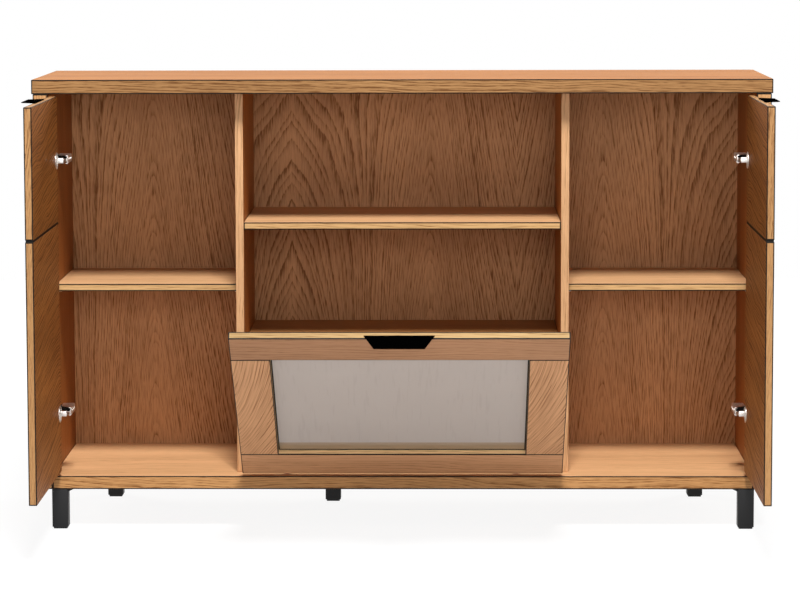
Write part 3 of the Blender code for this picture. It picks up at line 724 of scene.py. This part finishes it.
class SIDEBOARD_OT_glass(bpy.types.Operator):
    """Give the pane its grey haze, with faint upright marks and, along its foot, a band of painted shade
    for the shaded floor of the bay behind.
    """

    bl_idname = "sideboard.glass"
    bl_label = "Glass Pane"

    def execute(self, context):
        settings = context.scene.sideboard_glass
        material, shader, recipe = new_material("hazy_glass")
        place = recipe.add("ShaderNodeTexCoord").outputs["Object"]
        mark = recipe.span(recipe.noise(place, MARK_CELLS), *MARK_SPAN)
        mark = recipe.math("MULTIPLY", mark, MARK_SHARE)
        mark = recipe.math("MULTIPLY_ADD", recipe.noise(place, HAZE_CELLS), HAZE_SHARE, mark)
        haze = recipe.mix(mark, (*settings.tint, 1.0), toned(settings.tint, (MARK_TONE,) * 3))
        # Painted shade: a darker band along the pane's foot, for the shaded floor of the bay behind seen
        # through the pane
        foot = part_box("flap_glass")[0][2]
        shade_band = recipe.math("LESS_THAN", recipe.apart(place)[2], foot + SHADE_BAND_HEIGHT)
        haze = recipe.mix(shade_band, haze, (*settings.shade_band, 1.0))
        recipe.feed(haze, shader.inputs["Base Color"])
        shader.inputs["Roughness"].default_value = GLASS_ROUGHNESS
        shader.inputs["IOR"].default_value = GLASS_IOR
        shader.inputs["Alpha"].default_value = 1.0 - settings.clearness
        wear("flap_glass", material)
        return {"FINISHED"}


# Two faces that meet at more than this angle have a sharp edge between them
SMOOTH_ANGLE = radians(38)

# Points on a small rounding, on a corner's arc and round a full turn
RIM_STEPS = 4
CORNER_STEPS = 6
TURN_STEPS = 40

# A screw head: its rings from the seat to the middle, as shares of its radius, and how its dome falls
HEAD_RINGS = np.concatenate(((1.0, 1.0), np.linspace(0.96, 0.04, 12)))
HEAD_FALL = 0.7

# The cross recess in it: its depth as a share of the height, its half width and reach at the top as
# shares of the radius, and how far its long and its end walls slope
RECESS_DEPTH = 0.8
RECESS_HALF_WIDTH = 0.16
RECESS_REACH = 0.62
RECESS_WALL = 0.10
RECESS_END = 0.08

# How the axes of a shape map to across the leaf, inwards and along its hinge
DRAWN_FLAT = (0, 1, 2)
DRAWN_ON_END = (2, 1, 0)
TURNED_INWARD = (0, 2, 1)
RAISED_ACROSS = (2, 0, 1)


class Leaf:
    """A door's or the flap's hinge: its axis, and the directions across, inwards and along it.

    seat holds the directions of the case's side of the hinge and open those of the resting leaf.
    """

    def __init__(self, name, across):
        joint = JOINTS[f"{name}_hinge"]
        self.name = name
        self.pivot = np.array(joint["pos_m"])
        seat = np.array((across, (0, 1, 0), np.cross(across, (0, 1, 0))), float)
        swing = Matrix.Rotation(-radians(joint["range_deg"][1]), 3, Vector(joint["axis"]))
        self.seat = seat
        self.open = seat @ np.array(swing).T

    def measure(self, node, axes):
        """The lowest and highest corners of a CAD node along the leaf's directions from its axis."""
        points = (node_points(node) - self.pivot) @ axes.T
        return points.min(0), points.max(0)

    def place(self, shell, axes, order):
        """Bring a shell's points from the leaf's directions to the model's."""
        return shell[..., order] @ axes + self.pivot


LEAVES = {
    "left_door": Leaf("left_door", (1, 0, 0)),
    "right_door": Leaf("right_door", (-1, 0, 0)),
    "flap": Leaf("flap", (0, 0, 1)),
}


def rounded(corners, radii):
    """A polygon whose corners are arcs that touch both of their sides.

    A side leaves its arc at radius / tan(half the corner's angle) from the corner. The arc's points
    are the two touching points seen from the arc's centre, blended by the sines of the two sweeps.
    """
    corners = np.asarray(corners, float)
    radii = np.broadcast_to(radii, len(corners)).reshape(-1, 1)
    before = np.roll(corners, 1, 0) - corners
    after = np.roll(corners, -1, 0) - corners
    before /= np.linalg.norm(before, axis=1, keepdims=True)
    after /= np.linalg.norm(after, axis=1, keepdims=True)
    half = np.arccos((before * after).sum(1, keepdims=True)) / 2
    middle = before + after
    middle /= np.linalg.norm(middle, axis=1, keepdims=True)
    centre = (corners + middle * radii / np.sin(half))[:, None]
    start = (corners + before * radii / np.tan(half))[:, None]
    end = (corners + after * radii / np.tan(half))[:, None]
    sweep = (pi - 2 * half)[:, None]
    part = np.linspace(0, 1, CORNER_STEPS)[None, :, None]
    arc = np.sin((1 - part) * sweep) * (start - centre) + np.sin(part * sweep) * (end - centre)
    return (centre + arc / np.sin(sweep)).reshape(-1, 2)


def prism(outline, low, high, rim):
    """A flat outline carried from low to high, with its two edges rounded.

    At an angle t round the rim the outline is drawn in by rim * (1 - sin t), along the mitre of its
    sides, and lies rim * (1 - cos t) from its end.
    """
    turn = np.linspace(0, pi / 2, RIM_STEPS)
    inset = rim * (1 - np.sin(turn))
    lift = rim * (1 - np.cos(turn))
    inset = np.concatenate((inset, inset[::-1]))[:, None, None]
    level = np.concatenate((low + lift, high - lift[::-1]))[:, None, None]
    ahead = np.roll(outline, -1, 0)
    if (outline[:, 0] * ahead[:, 1] - outline[:, 1] * ahead[:, 0]).sum() < 0:
        outline = outline[::-1]
        ahead = np.roll(outline, -1, 0)
    side = ahead - outline
    side /= np.linalg.norm(side, axis=1, keepdims=True)
    normal = np.stack((side[:, 1], -side[:, 0]), 1)
    mitre = normal + np.roll(normal, 1, 0)
    mitre /= (mitre * normal).sum(1, keepdims=True)
    flat = outline - inset * mitre
    return np.concatenate((flat, np.broadcast_to(level, (*flat.shape[:2], 1))), 2)


def turned(profile, centre=(0.0, 0.0)):
    """A profile of (radius, height) points carried round an axis through the centre."""
    radius, height = np.asarray(profile, float).T[:, :, None]
    angle = np.linspace(0, 2 * pi, TURN_STEPS, endpoint=False)
    x = centre[0] + radius * np.cos(angle)
    y = centre[1] + radius * np.sin(angle)
    return np.stack((x, y, np.broadcast_to(height, x.shape)), 2)


def screw_head(centre, seat, radius, height):
    """A domed screw head with a cross recess, on a grid of radius r and angle a.

    The dome is height * sqrt(1 - HEAD_FALL * r^2) over a straight side. The recess takes a share of
    the height away where the smaller of |r cos a| and |r sin a| is within its half width and the
    larger one within its reach, and its walls slope.
    """
    part = HEAD_RINGS[:, None]
    angle = np.linspace(0, 2 * pi, TURN_STEPS, endpoint=False)
    x = part * np.cos(angle)
    y = part * np.sin(angle)
    aside = np.minimum(np.abs(x), np.abs(y))
    away = np.maximum(np.abs(x), np.abs(y))
    recess = np.clip((RECESS_HALF_WIDTH - aside) / RECESS_WALL, 0, 1)
    recess *= np.clip((RECESS_REACH - away) / RECESS_END, 0, 1)
    top = height * (np.sqrt(1 - HEAD_FALL * part ** 2) - RECESS_DEPTH * recess)
    top[0] = 0
    return np.stack((centre[0] + radius * x, centre[1] + radius * y, seat + top), 2)


def shell_faces(shell, first, looped):
    """Quads between each ring of a shell and the next, and a face on each end, or a join if looped."""
    count, around = shell.shape[:2]
    index = first + np.arange(count * around).reshape(count, around)
    rows = np.vstack((index, index[:1])) if looped else index
    ahead = np.roll(rows, -1, 1)
    quads = np.stack((rows[:-1], ahead[:-1], ahead[1:], rows[1:]), 2).reshape(-1, 4).tolist()
    return quads if looped else quads + [index[0, ::-1].tolist(), index[-1].tolist()]


def add_piece(name, shells, material, body, replaced=(), looped=False):
    """Join closed shells into one piece that rides on a body, in place of CAD nodes if any are named."""
    faces = []
    first = 0
    for shell in shells:
        faces += shell_faces(shell, first, looped)
        first += shell.shape[0] * shell.shape[1]
    mesh = bpy.data.meshes.new(name)
    mesh.from_pydata(np.concatenate([shell.reshape(-1, 3) for shell in shells]), [], faces)
    shape = bmesh.new()
    shape.from_mesh(mesh)
    bmesh.ops.recalc_face_normals(shape, faces=shape.faces)
    shape.to_mesh(mesh)
    shape.free()
    mesh.shade_smooth()
    mesh.set_sharp_from_angle(angle=SMOOTH_ANGLE)
    mesh.materials.append(material)
    piece = bpy.data.objects.new(name, mesh)
    bpy.context.scene.collection.objects.link(piece)
    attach(piece, body)
    if replaced:
        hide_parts(*replaced)


def rectangle(low, high):
    """The corners of a rectangle, counterclockwise."""
    return ((low[0], low[1]), (high[0], low[1]), (high[0], high[1]), (low[0], high[1]))


class LegSettings(bpy.types.PropertyGroup):
    """Roundings and small parts of the legs."""

    corner: size_property("Corner", "Radius of a leg's upright corners", 0.0030)
    rim: size_property("Rim", "Rounding of a leg's ends", 0.0007)
    glide: size_property("Glide", "Height of the glide that shows under a leg", 0.0040)
    glide_inset: size_property("Glide Inset", "How far the glide stands in from the leg's faces", 0.0025)
    gusset_height: size_property("Gusset Height", "Height of the gusset at a leg's top", 0.0065)
    gusset_depth: size_property("Gusset Depth", "Length of the gusset along the depth", 0.0200)


# How high a glide reaches into its tube, in heights of the part that shows
GLIDE_REACH = 1.5


class SIDEBOARD_OT_legs(bpy.types.Operator):
    """Make each leg as a square tube with rounded corners, a gusset at its top and a glide below."""

    bl_idname = "sideboard.legs"
    bl_label = "Legs"

    def execute(self, context):
        settings = context.scene.sideboard_legs
        paint = coated("powder_coat")
        for node in [name for name in frame["nodes"] if name.endswith("_leg")]:
            points = node_points(node)
            low, high = points.min(0), points.max(0)
            shaft = points[points[:, 2] < high[2] / 2]
            left, right = shaft[:, 0].min(), shaft[:, 0].max()
            square = rounded(rectangle((left, low[1]), (right, high[1])), settings.corner)
            tube = prism(square, low[2] + settings.glide, high[2], settings.rim)
            inset = settings.glide_inset
            foot = rectangle((left + inset, low[1] + inset), (right - inset, high[1] - inset))
            glide_top = low[2] + settings.glide * GLIDE_REACH
            glide = prism(rounded(foot, settings.corner), low[2], glide_top, settings.rim)
            tip, face = (high[0], right) if high[0] - right > left - low[0] else (low[0], left)
            root = (left + right) / 2
            top, base = high[2], high[2] - settings.gusset_height
            outline = rounded(((root, top), (tip, top), (face, base), (root, base)), settings.rim)
            middle = (low[1] + high[1]) / 2
            half = settings.gusset_depth / 2
            gusset = prism(outline, middle - half, middle + half, settings.rim)[..., TURNED_INWARD]
            add_piece(f"{node}_tube", [tube, glide, gusset], paint, "case", [node])
        return {"FINISHED"}


class PullSettings(bpy.types.PropertyGroup):
    """Roundings of the edge pulls."""

    corner: size_property("Corner", "Radius of a pull's front corners seen from above", 0.0015)
    base_corner: size_property("Base Corner", "Radius of a pull's corners on the leaf", 0.0003)
    rim: size_property("Rim", "Rounding of the sheet's edges", 0.0006)


class SIDEBOARD_OT_pulls(bpy.types.Operator):
    """Make each edge pull as a sheet with round corners, wide on the leaf and narrow in front."""

    bl_idname = "sideboard.pulls"
    bl_label = "Edge Pulls"

    def execute(self, context):
        settings = context.scene.sideboard_pulls
        for leaf in LEAVES.values():
            node = f"{leaf.name}_handle"
            points = (node_points(node) - leaf.pivot) @ leaf.open.T
            low, high = points.min(0), points.max(0)
            thin = int(np.argmin(high - low))
            long = 2 - thin
            front = points[points[:, 1] < low[1] + FACE_TOLERANCE][:, long]
            corners = (
                (low[long], high[1]), (front.min(), low[1]), (front.max(), low[1]), (high[long], high[1]),
            )
            radii = (settings.base_corner, settings.corner, settings.corner, settings.base_corner)
            sheet = prism(rounded(corners, radii), low[thin], high[thin], settings.rim)
            shell = leaf.place(sheet, leaf.open, DRAWN_FLAT if thin == 2 else DRAWN_ON_END)
            paint = coated("pull_paint")
            add_piece(f"{leaf.name}_pull", [shell], paint, leaf.name, [node])
        return {"FINISHED"}


class HingeSettings(bpy.types.PropertyGroup):
    """Sizes of the concealed hinges' sheet metal and screws."""

    sheet: size_property("Sheet", "Thickness of the arm's sheet", 0.0020)
    bend: size_property("Bend", "Outer radius of the arm's folds", 0.0026)
    nose_depth: size_property("Nose Depth", "Depth of the arm's channel at its front", 0.0055)
    nose_length: size_property("Nose Length", "Length of the shallow front of the arm", 0.0095)
    slope_length: size_property("Slope Length", "Length over which the arm deepens", 0.0200)
    rear_length: size_property("Rear Length", "Length of the deep rear of the arm", 0.0350)
    tongue_height: size_property("Tongue Height", "Height of the tongue at the arm's front", 0.0090)
    link_height: size_property("Link Height", "Height of the curved link", 0.0060)
    link_thickness: size_property("Link Thickness", "Thickness of the curved link", 0.0050)
    knuckle_stand: size_property("Knuckle Stand", "How far the knuckle stands on the board", 0.0143)
    knuckle_height: size_property("Knuckle Height", "Height of the knuckle in the cup", 0.0110)
    knuckle_width: size_property("Knuckle Width", "Width of the knuckle in the cup", 0.0110)
    cup_wall: size_property("Cup Wall", "Thickness of the cup's wall", 0.0008)
    rim_width: size_property("Rim Width", "How far the cup's rim reaches over the board", 0.0013)
    rim_height: size_property("Rim Height", "How far the cup's rim stands on the board", 0.0020)
    plate_sheet: size_property("Plate Sheet", "Thickness of the mounting plate", 0.0020)
    screw: size_property("Screw", "Radius of a screw's head", 0.0034)
    screw_height: size_property("Screw Height", "Height of a screw's head", 0.0014)
    edge: size_property("Edge", "Rounding of the small edges", 0.0004)


# From a plate's end to its screw, in radii of the head, and from its front and back to the housing,
# in radii of the folds
SCREW_INSET = 1.6
HOUSING_MARGIN = 1.5


def hinge_cup(leaf, node, face, settings):
    """A turned cup with a rim on the board, the knuckle in it and the link that curves round the axis.

    The link's outer side keeps one distance from the hinge axis, as high as the CAD node reaches.
    """
    low, high = leaf.measure(node, leaf.open)
    rim_radius = (high[2] - low[2]) / 2
    centre = (high[0] - rim_radius, (low[2] + high[2]) / 2)
    outer = rim_radius - settings.rim_width
    inner = outer - settings.cup_wall
    bottom, top = low[1], face + settings.rim_height
    dish = bottom + settings.cup_wall
    edge = settings.edge
    cup = turned((
        (edge, bottom), (outer - 3 * edge, bottom), (outer, bottom + 3 * edge), (outer, face + edge),
        (rim_radius, face + edge), (rim_radius, top - 2 * edge), (rim_radius - 2 * edge, top),
        (inner + edge, top), (inner, top - edge), (inner, dish + 3 * edge), (inner - 3 * edge, dish),
        (edge, dish),
    ), centre)

    reach = high[1] - edge / 2
    crown = face + settings.knuckle_stand
    end = np.sqrt(reach ** 2 - crown ** 2)
    start = end - settings.knuckle_width
    half = settings.knuckle_height / 2
    block = rounded(rectangle((start, dish - settings.cup_wall / 2), (end, crown)), 4 * edge)
    knuckle = prism(block, centre[1] - half, centre[1] + half, 1.5 * edge)

    root = settings.bend / 2
    away = reach - settings.link_thickness
    outward = np.linspace(np.arccos((end - root) / reach), np.arccos(low[0] / reach), 2 * CORNER_STEPS)
    homeward = np.linspace(np.arccos(low[0] / away), np.arccos((start + root) / away), 2 * CORNER_STEPS)
    angle = np.concatenate((outward, homeward))
    radius = np.repeat((reach, away), 2 * CORNER_STEPS)
    curve = np.stack((radius * np.cos(angle), radius * np.sin(angle)), 1)
    foot = ((end - root, crown - settings.link_thickness),)
    half = settings.link_height / 2
    link = prism(np.concatenate((foot, curve)), centre[1] - half, centre[1] + half, edge)
    return [
        leaf.place(cup, leaf.open, TURNED_INWARD), leaf.place(knuckle, leaf.open, DRAWN_FLAT),
        leaf.place(link, leaf.open, DRAWN_FLAT),
    ]


def hinge_arm(leaf, box, settings):
    """A channel folded from sheet, carried from its shallow nose to its deep rear, with its screws.

    Its depth follows smoothstep(t) = t^2 (3 - 2 t) along the slope between nose and rear.
    """
    low, high = box
    middle = (low[2] + high[2]) / 2
    half = (high[2] - low[2]) / 2
    rear = high[1] - settings.rear_length
    nose = rear - settings.slope_length
    front = nose - settings.nose_length
    slope = np.linspace(nose, rear, 2 * CORNER_STEPS)
    part = np.linspace(0, 1, 2 * CORNER_STEPS)
    growth = np.concatenate(((0,), part ** 2 * (3 - 2 * part), (1,)))
    station = np.concatenate(((front,), slope, (high[1],)))
    depth = settings.nose_depth + (high[0] - low[0] - settings.nose_depth) * growth
    sheet, bend, edge = settings.sheet, settings.bend, settings.edge
    radii = (edge, bend, bend, edge, edge, bend - sheet, bend - sheet, edge)
    sections = [rounded((
        (high[0] - deep, middle - half), (high[0], middle - half), (high[0], middle + half),
        (high[0] - deep, middle + half), (high[0] - deep, middle + half - sheet),
        (high[0] - sheet, middle + half - sheet), (high[0] - sheet, middle - half + sheet),
        (high[0] - deep, middle - half + sheet),
    ), radii) for deep in depth]
    flat = np.stack(sections)
    channel = np.concatenate((flat, np.broadcast_to(station[:, None, None], (*flat.shape[:2], 1))), 2)

    tongue_half = settings.tongue_height / 2
    inset = edge / 2
    tip = rectangle((high[0] - sheet + inset, low[1]), (high[0] - inset, front + sheet))
    tongue = prism(rounded(tip, edge), middle - tongue_half, middle + tongue_half, edge)
    shells = [leaf.place(channel, leaf.seat, TURNED_INWARD), leaf.place(tongue, leaf.seat, DRAWN_FLAT)]
    for place in (nose + settings.slope_length / 2, rear + settings.rear_length / 4,
                  rear + settings.rear_length * 3 / 4):
        head = screw_head((place, middle), high[0] - edge, settings.screw, settings.screw_height)
        shells.append(leaf.place(head, leaf.seat, RAISED_ACROSS))
    return shells


def hinge_plate(leaf, node, settings):
    """A mounting plate with round corners and a screw at each end."""
    low, high = leaf.measure(node, leaf.seat)
    middle = (low[2] + high[2]) / 2
    top = low[0] + settings.plate_sheet
    outline = rounded(rectangle(low[1:], high[1:]), 2 * settings.bend)
    sheet = prism(outline, low[0], top, settings.edge)
    shells = [leaf.place(sheet, leaf.seat, RAISED_ACROSS)]
    for side in (-1, 1):
        place = middle + side * ((high[2] - low[2]) / 2 - SCREW_INSET * settings.screw)
        centre = ((low[1] + high[1]) / 2, place)
        head = screw_head(centre, top - settings.edge, settings.screw, settings.screw_height)
        shells.append(leaf.place(head, leaf.seat, RAISED_ACROSS))
    return shells


def hinge_housing(leaf, plate_node, arm_box, settings):
    """The dark block that stands on the mounting plate and fills the arm's channel."""
    low, high = leaf.measure(plate_node, leaf.seat)
    inner = settings.sheet + settings.edge / 2
    across = (low[0] + settings.plate_sheet, arm_box[1][0] - inner)
    margin = settings.bend * HOUSING_MARGIN
    block = rectangle((low[1] + margin, arm_box[0][2] + inner), (high[1] - margin, arm_box[1][2] - inner))
    housing = prism(rounded(block, settings.bend / 2), *across, settings.edge)
    return [leaf.place(housing, leaf.seat, RAISED_ACROSS)]


class SIDEBOARD_OT_hinges(bpy.types.Operator):
    """Make the hinges: turned cups on the leaves, folded arms, screwed plates and housings on the case."""

    bl_idname = "sideboard.hinges"
    bl_label = "Concealed Hinges"

    def execute(self, context):
        settings = context.scene.sideboard_hinges
        plated = nickel_plated()
        for node in [name for name in frame["nodes"] if name.endswith("_hinge_cup")]:
            hinge = node.removesuffix("_cup")
            leaf = next(item for name, item in LEAVES.items() if node.startswith(name))
            board = "flap_bottom_rail" if leaf.name == "flap" else f"{leaf.name}_lower_panel"
            face = leaf.measure(board, leaf.open)[1][1]
            arm_box = leaf.measure(f"{hinge}_arm", leaf.seat)
            cup = hinge_cup(leaf, node, face, settings)
            add_piece(f"{hinge}_turned_cup", cup, plated, leaf.name, [node])
            arm = hinge_arm(leaf, arm_box, settings)
            add_piece(f"{hinge}_folded_arm", arm, plated, "case", [f"{hinge}_arm"])
            plate = hinge_plate(leaf, f"{hinge}_plate", settings)
            add_piece(f"{hinge}_mounting_plate", plate, plated, "case", [f"{hinge}_plate"])
            housing = hinge_housing(leaf, f"{hinge}_plate", arm_box, settings)
            add_piece(f"{hinge}_housing", housing, coated("joint_strip"), "case")
        return {"FINISHED"}


class GasketSettings(bpy.types.PropertyGroup):
    """Section of the seal round the pane."""

    width: size_property("Width", "Width of the seal on the pane", 0.0026)
    height: size_property("Height", "Height of the seal over the pane", 0.0012)
    lap: size_property("Lap", "How far the pane reaches behind the frame", 0.0100)


class SIDEBOARD_OT_gasket(bpy.types.Operator):
    """Run a dark half-round seal along the frame on the front of the pane.

    At an angle t round its section it is width * (1 - cos t) / 2 wide and height * sin t high.
    """

    bl_idname = "sideboard.gasket"
    bl_label = "Glass Seal"

    def execute(self, context):
        settings = context.scene.sideboard_gasket
        leaf = LEAVES["flap"]
        low, high = leaf.measure("flap_glass", leaf.open)
        turn = np.linspace(0, pi, 2 * CORNER_STEPS)
        width = settings.width * (1 - np.cos(turn)) / 2
        height = settings.height * np.sin(turn)
        signs = np.array(((1, 1), (-1, 1), (-1, -1), (1, -1)))
        corners = np.array(((low[0], low[2]), (high[0], low[2]), (high[0], high[2]), (low[0], high[2])))
        flat = (corners + signs * settings.lap)[:, None] + signs[:, None] * width[None, :, None]
        front = np.broadcast_to(low[1] - height, flat.shape[:2])[..., None]
        seal = leaf.place(np.concatenate((flat, front), 2), leaf.open, TURNED_INWARD)
        rubber = coated("joint_strip")
        add_piece("flap_glass_seal", [seal], rubber, "flap", looped=True)
        return {"FINISHED"}


WHITE = (1.0, 1.0, 1.0, 1.0)

# The floor is a disc. Where it is seen, it sends on a share of the light that falls on it, and glows
# less near the model than from some metres away
FLOOR_RADIUS = 5.0
FLOOR_SIDES = 96
FLOOR_ROUGHNESS = 0.9
SHADOW_SHARE = 0.12
FLOOR_FADE = (1.4, 3.0)
FLOOR_GLOW = (0.90, 1.0)

# Each lamp's setting, place and size, and the point that they all face
LAMPS = {
    "key_lamp": ("key", (0.3, -3.75, 6.25), (1.5, 1.5)),
    "fill_lamp": ("fill", (0.3, -6.2, 1.6), (2.5, 2.0)),
    "left_back_lamp": ("back", (-4.5, 3.4, 2.4), (2.0, 2.0)),
    "right_back_lamp": ("back", (4.5, 3.4, 2.4), (2.0, 2.0)),
}
LAMP_AIM = (0.0, 0.2, 0.5)

# The camera's place in metres, its turns in degrees, and its lens and sensor in millimetres
CAMERA_PLACE = (0.09348, -6.60895, 1.30602)
CAMERA_TURNS = (84.2051, 0.1288, 0.8326)
CAMERA_LENS = 138.055
CAMERA_SENSOR = 36.0
CAMERA_SHIFT = -0.075
CAMERA_REACH = 100.0


def add_lamp(name, place, size, power):
    """A soft lamp turned towards the model."""
    data = bpy.data.lights.new(name, "AREA")
    data.shape = "RECTANGLE"
    data.size, data.size_y = size
    data.energy = power
    lamp = bpy.data.objects.new(name, data)
    lamp.location = place
    lamp.rotation_euler = (Vector(LAMP_AIM) - Vector(place)).to_track_quat("-Z", "Y").to_euler()
    bpy.context.scene.collection.objects.link(lamp)


def add_camera():
    """The camera, where the photograph was taken from."""
    data = bpy.data.cameras.new("camera")
    data.sensor_width = CAMERA_SENSOR
    data.sensor_fit = "HORIZONTAL"
    data.lens = CAMERA_LENS
    data.shift_y = CAMERA_SHIFT
    data.clip_end = CAMERA_REACH
    camera = bpy.data.objects.new("camera", data)
    camera.location = CAMERA_PLACE
    camera.rotation_euler = [radians(turn) for turn in CAMERA_TURNS]
    bpy.context.scene.collection.objects.link(camera)
    bpy.context.scene.camera = camera


def seen_directly(recipe):
    """1 where a ray comes from the camera, a mirror or a clear pane, and 0 elsewhere."""
    path = recipe.add("ShaderNodeLightPath")
    seen = recipe.math("MAXIMUM", path.outputs["Is Camera Ray"], path.outputs["Is Glossy Ray"])
    return recipe.math("MAXIMUM", seen, path.outputs["Is Transmission Ray"])


def floor_material(settings):
    """A pale floor that glows nearly white where it is seen, and keeps a faint shadow."""
    material, shader, recipe = new_material("pale_floor")
    seen = seen_directly(recipe)
    shade = (SHADOW_SHARE, SHADOW_SHARE, SHADOW_SHARE, 1.0)
    recipe.feed(recipe.mix(seen, (*settings.floor, 1.0), shade), shader.inputs["Base Color"])
    shader.inputs["Roughness"].default_value = FLOOR_ROUGHNESS
    shader.inputs["Specular IOR Level"].default_value = 0.0
    shader.inputs["Emission Color"].default_value = WHITE
    place = recipe.add("ShaderNodeTexCoord").outputs["Object"]
    away = recipe.add("ShaderNodeVectorMath", {0: place}, operation="LENGTH").outputs["Value"]
    glow = recipe.span(away, *FLOOR_FADE, *FLOOR_GLOW)
    recipe.feed(recipe.math("MULTIPLY", seen, glow), shader.inputs["Emission Strength"])
    return material


def add_sky(strength):
    """A backdrop that is white where it is seen and lights the model with its own strength."""
    world = bpy.data.worlds.new("studio")
    world.use_nodes = True
    bpy.context.scene.world = world
    recipe = Recipe(world.node_tree)
    background = world.node_tree.nodes["Background"]
    background.inputs["Color"].default_value = WHITE
    strength = recipe.span(seen_directly(recipe), 0.0, 1.0, strength, 1.0)
    recipe.feed(strength, background.inputs["Strength"])


class SIDEBOARD_OT_stage(bpy.types.Operator):
    """Set the pale floor, the white backdrop, the lamps and the camera."""

    bl_idname = "sideboard.stage"
    bl_label = "Stage"

    def execute(self, context):
        settings = context.scene.sideboard_stage
        mesh = bpy.data.meshes.new("floor")
        turns = np.linspace(0, 2 * pi, FLOOR_SIDES, endpoint=False)
        rim = np.stack((np.cos(turns), np.sin(turns), turns * 0), 1) * FLOOR_RADIUS
        mesh.from_pydata(rim, [], [tuple(range(FLOOR_SIDES))])
        mesh.materials.append(floor_material(settings))
        floor = bpy.data.objects.new("floor", mesh)
        context.scene.collection.objects.link(floor)
        add_sky(settings.sky)
        for name, (setting, place, size) in LAMPS.items():
            add_lamp(name, place, size, getattr(settings, setting))
        add_camera()
        context.scene.view_settings.view_transform = "Standard"
        return {"FINISHED"}


# Each part's settings, in the order of the panel
PARTS = {
    "stage": StageSettings,
    "oak": OakSettings,
    "metal": MetalSettings,
    "glass": GlassSettings,
    "legs": LegSettings,
    "pulls": PullSettings,
    "hinges": HingeSettings,
    "gasket": GasketSettings,
}


class SIDEBOARD_PT_looks(bpy.types.Panel):
    """The sideboard's finishes in the order in which they are made."""

    bl_idname = "SIDEBOARD_PT_looks"
    bl_label = "Sideboard"
    bl_space_type = "VIEW_3D"
    bl_region_type = "UI"
    bl_category = "Sideboard"

    def draw(self, context):
        for part, group in PARTS.items():
            box = self.layout.box()
            for name in group.__annotations__:
                box.prop(getattr(context.scene, f"sideboard_{part}"), name)
            box.operator(f"sideboard.{part}")


CLASSES = (
    *PARTS.values(), SIDEBOARD_OT_stage, SIDEBOARD_OT_oak, SIDEBOARD_OT_metal, SIDEBOARD_OT_glass,
    SIDEBOARD_OT_legs, SIDEBOARD_OT_pulls, SIDEBOARD_OT_hinges, SIDEBOARD_OT_gasket, SIDEBOARD_PT_looks,
)


def register():
    """Add the classes and the scene's settings."""
    for item in CLASSES:
        bpy.utils.register_class(item)
    for part, group in PARTS.items():
        setattr(bpy.types.Scene, f"sideboard_{part}", bpy.props.PointerProperty(type=group))


def unregister():
    """Take the settings and the classes away again."""
    for part in PARTS:
        delattr(bpy.types.Scene, f"sideboard_{part}")
    for item in reversed(CLASSES):
        bpy.utils.unregister_class(item)


def main():
    """Make every piece in order."""
    register()
    bpy.ops.sideboard.stage()
    bpy.ops.sideboard.oak()
    bpy.ops.sideboard.metal()
    bpy.ops.sideboard.glass()
    bpy.ops.sideboard.legs()
    bpy.ops.sideboard.pulls()
    bpy.ops.sideboard.hinges()
    bpy.ops.sideboard.gasket()


if __name__ == "__main__":
    main()
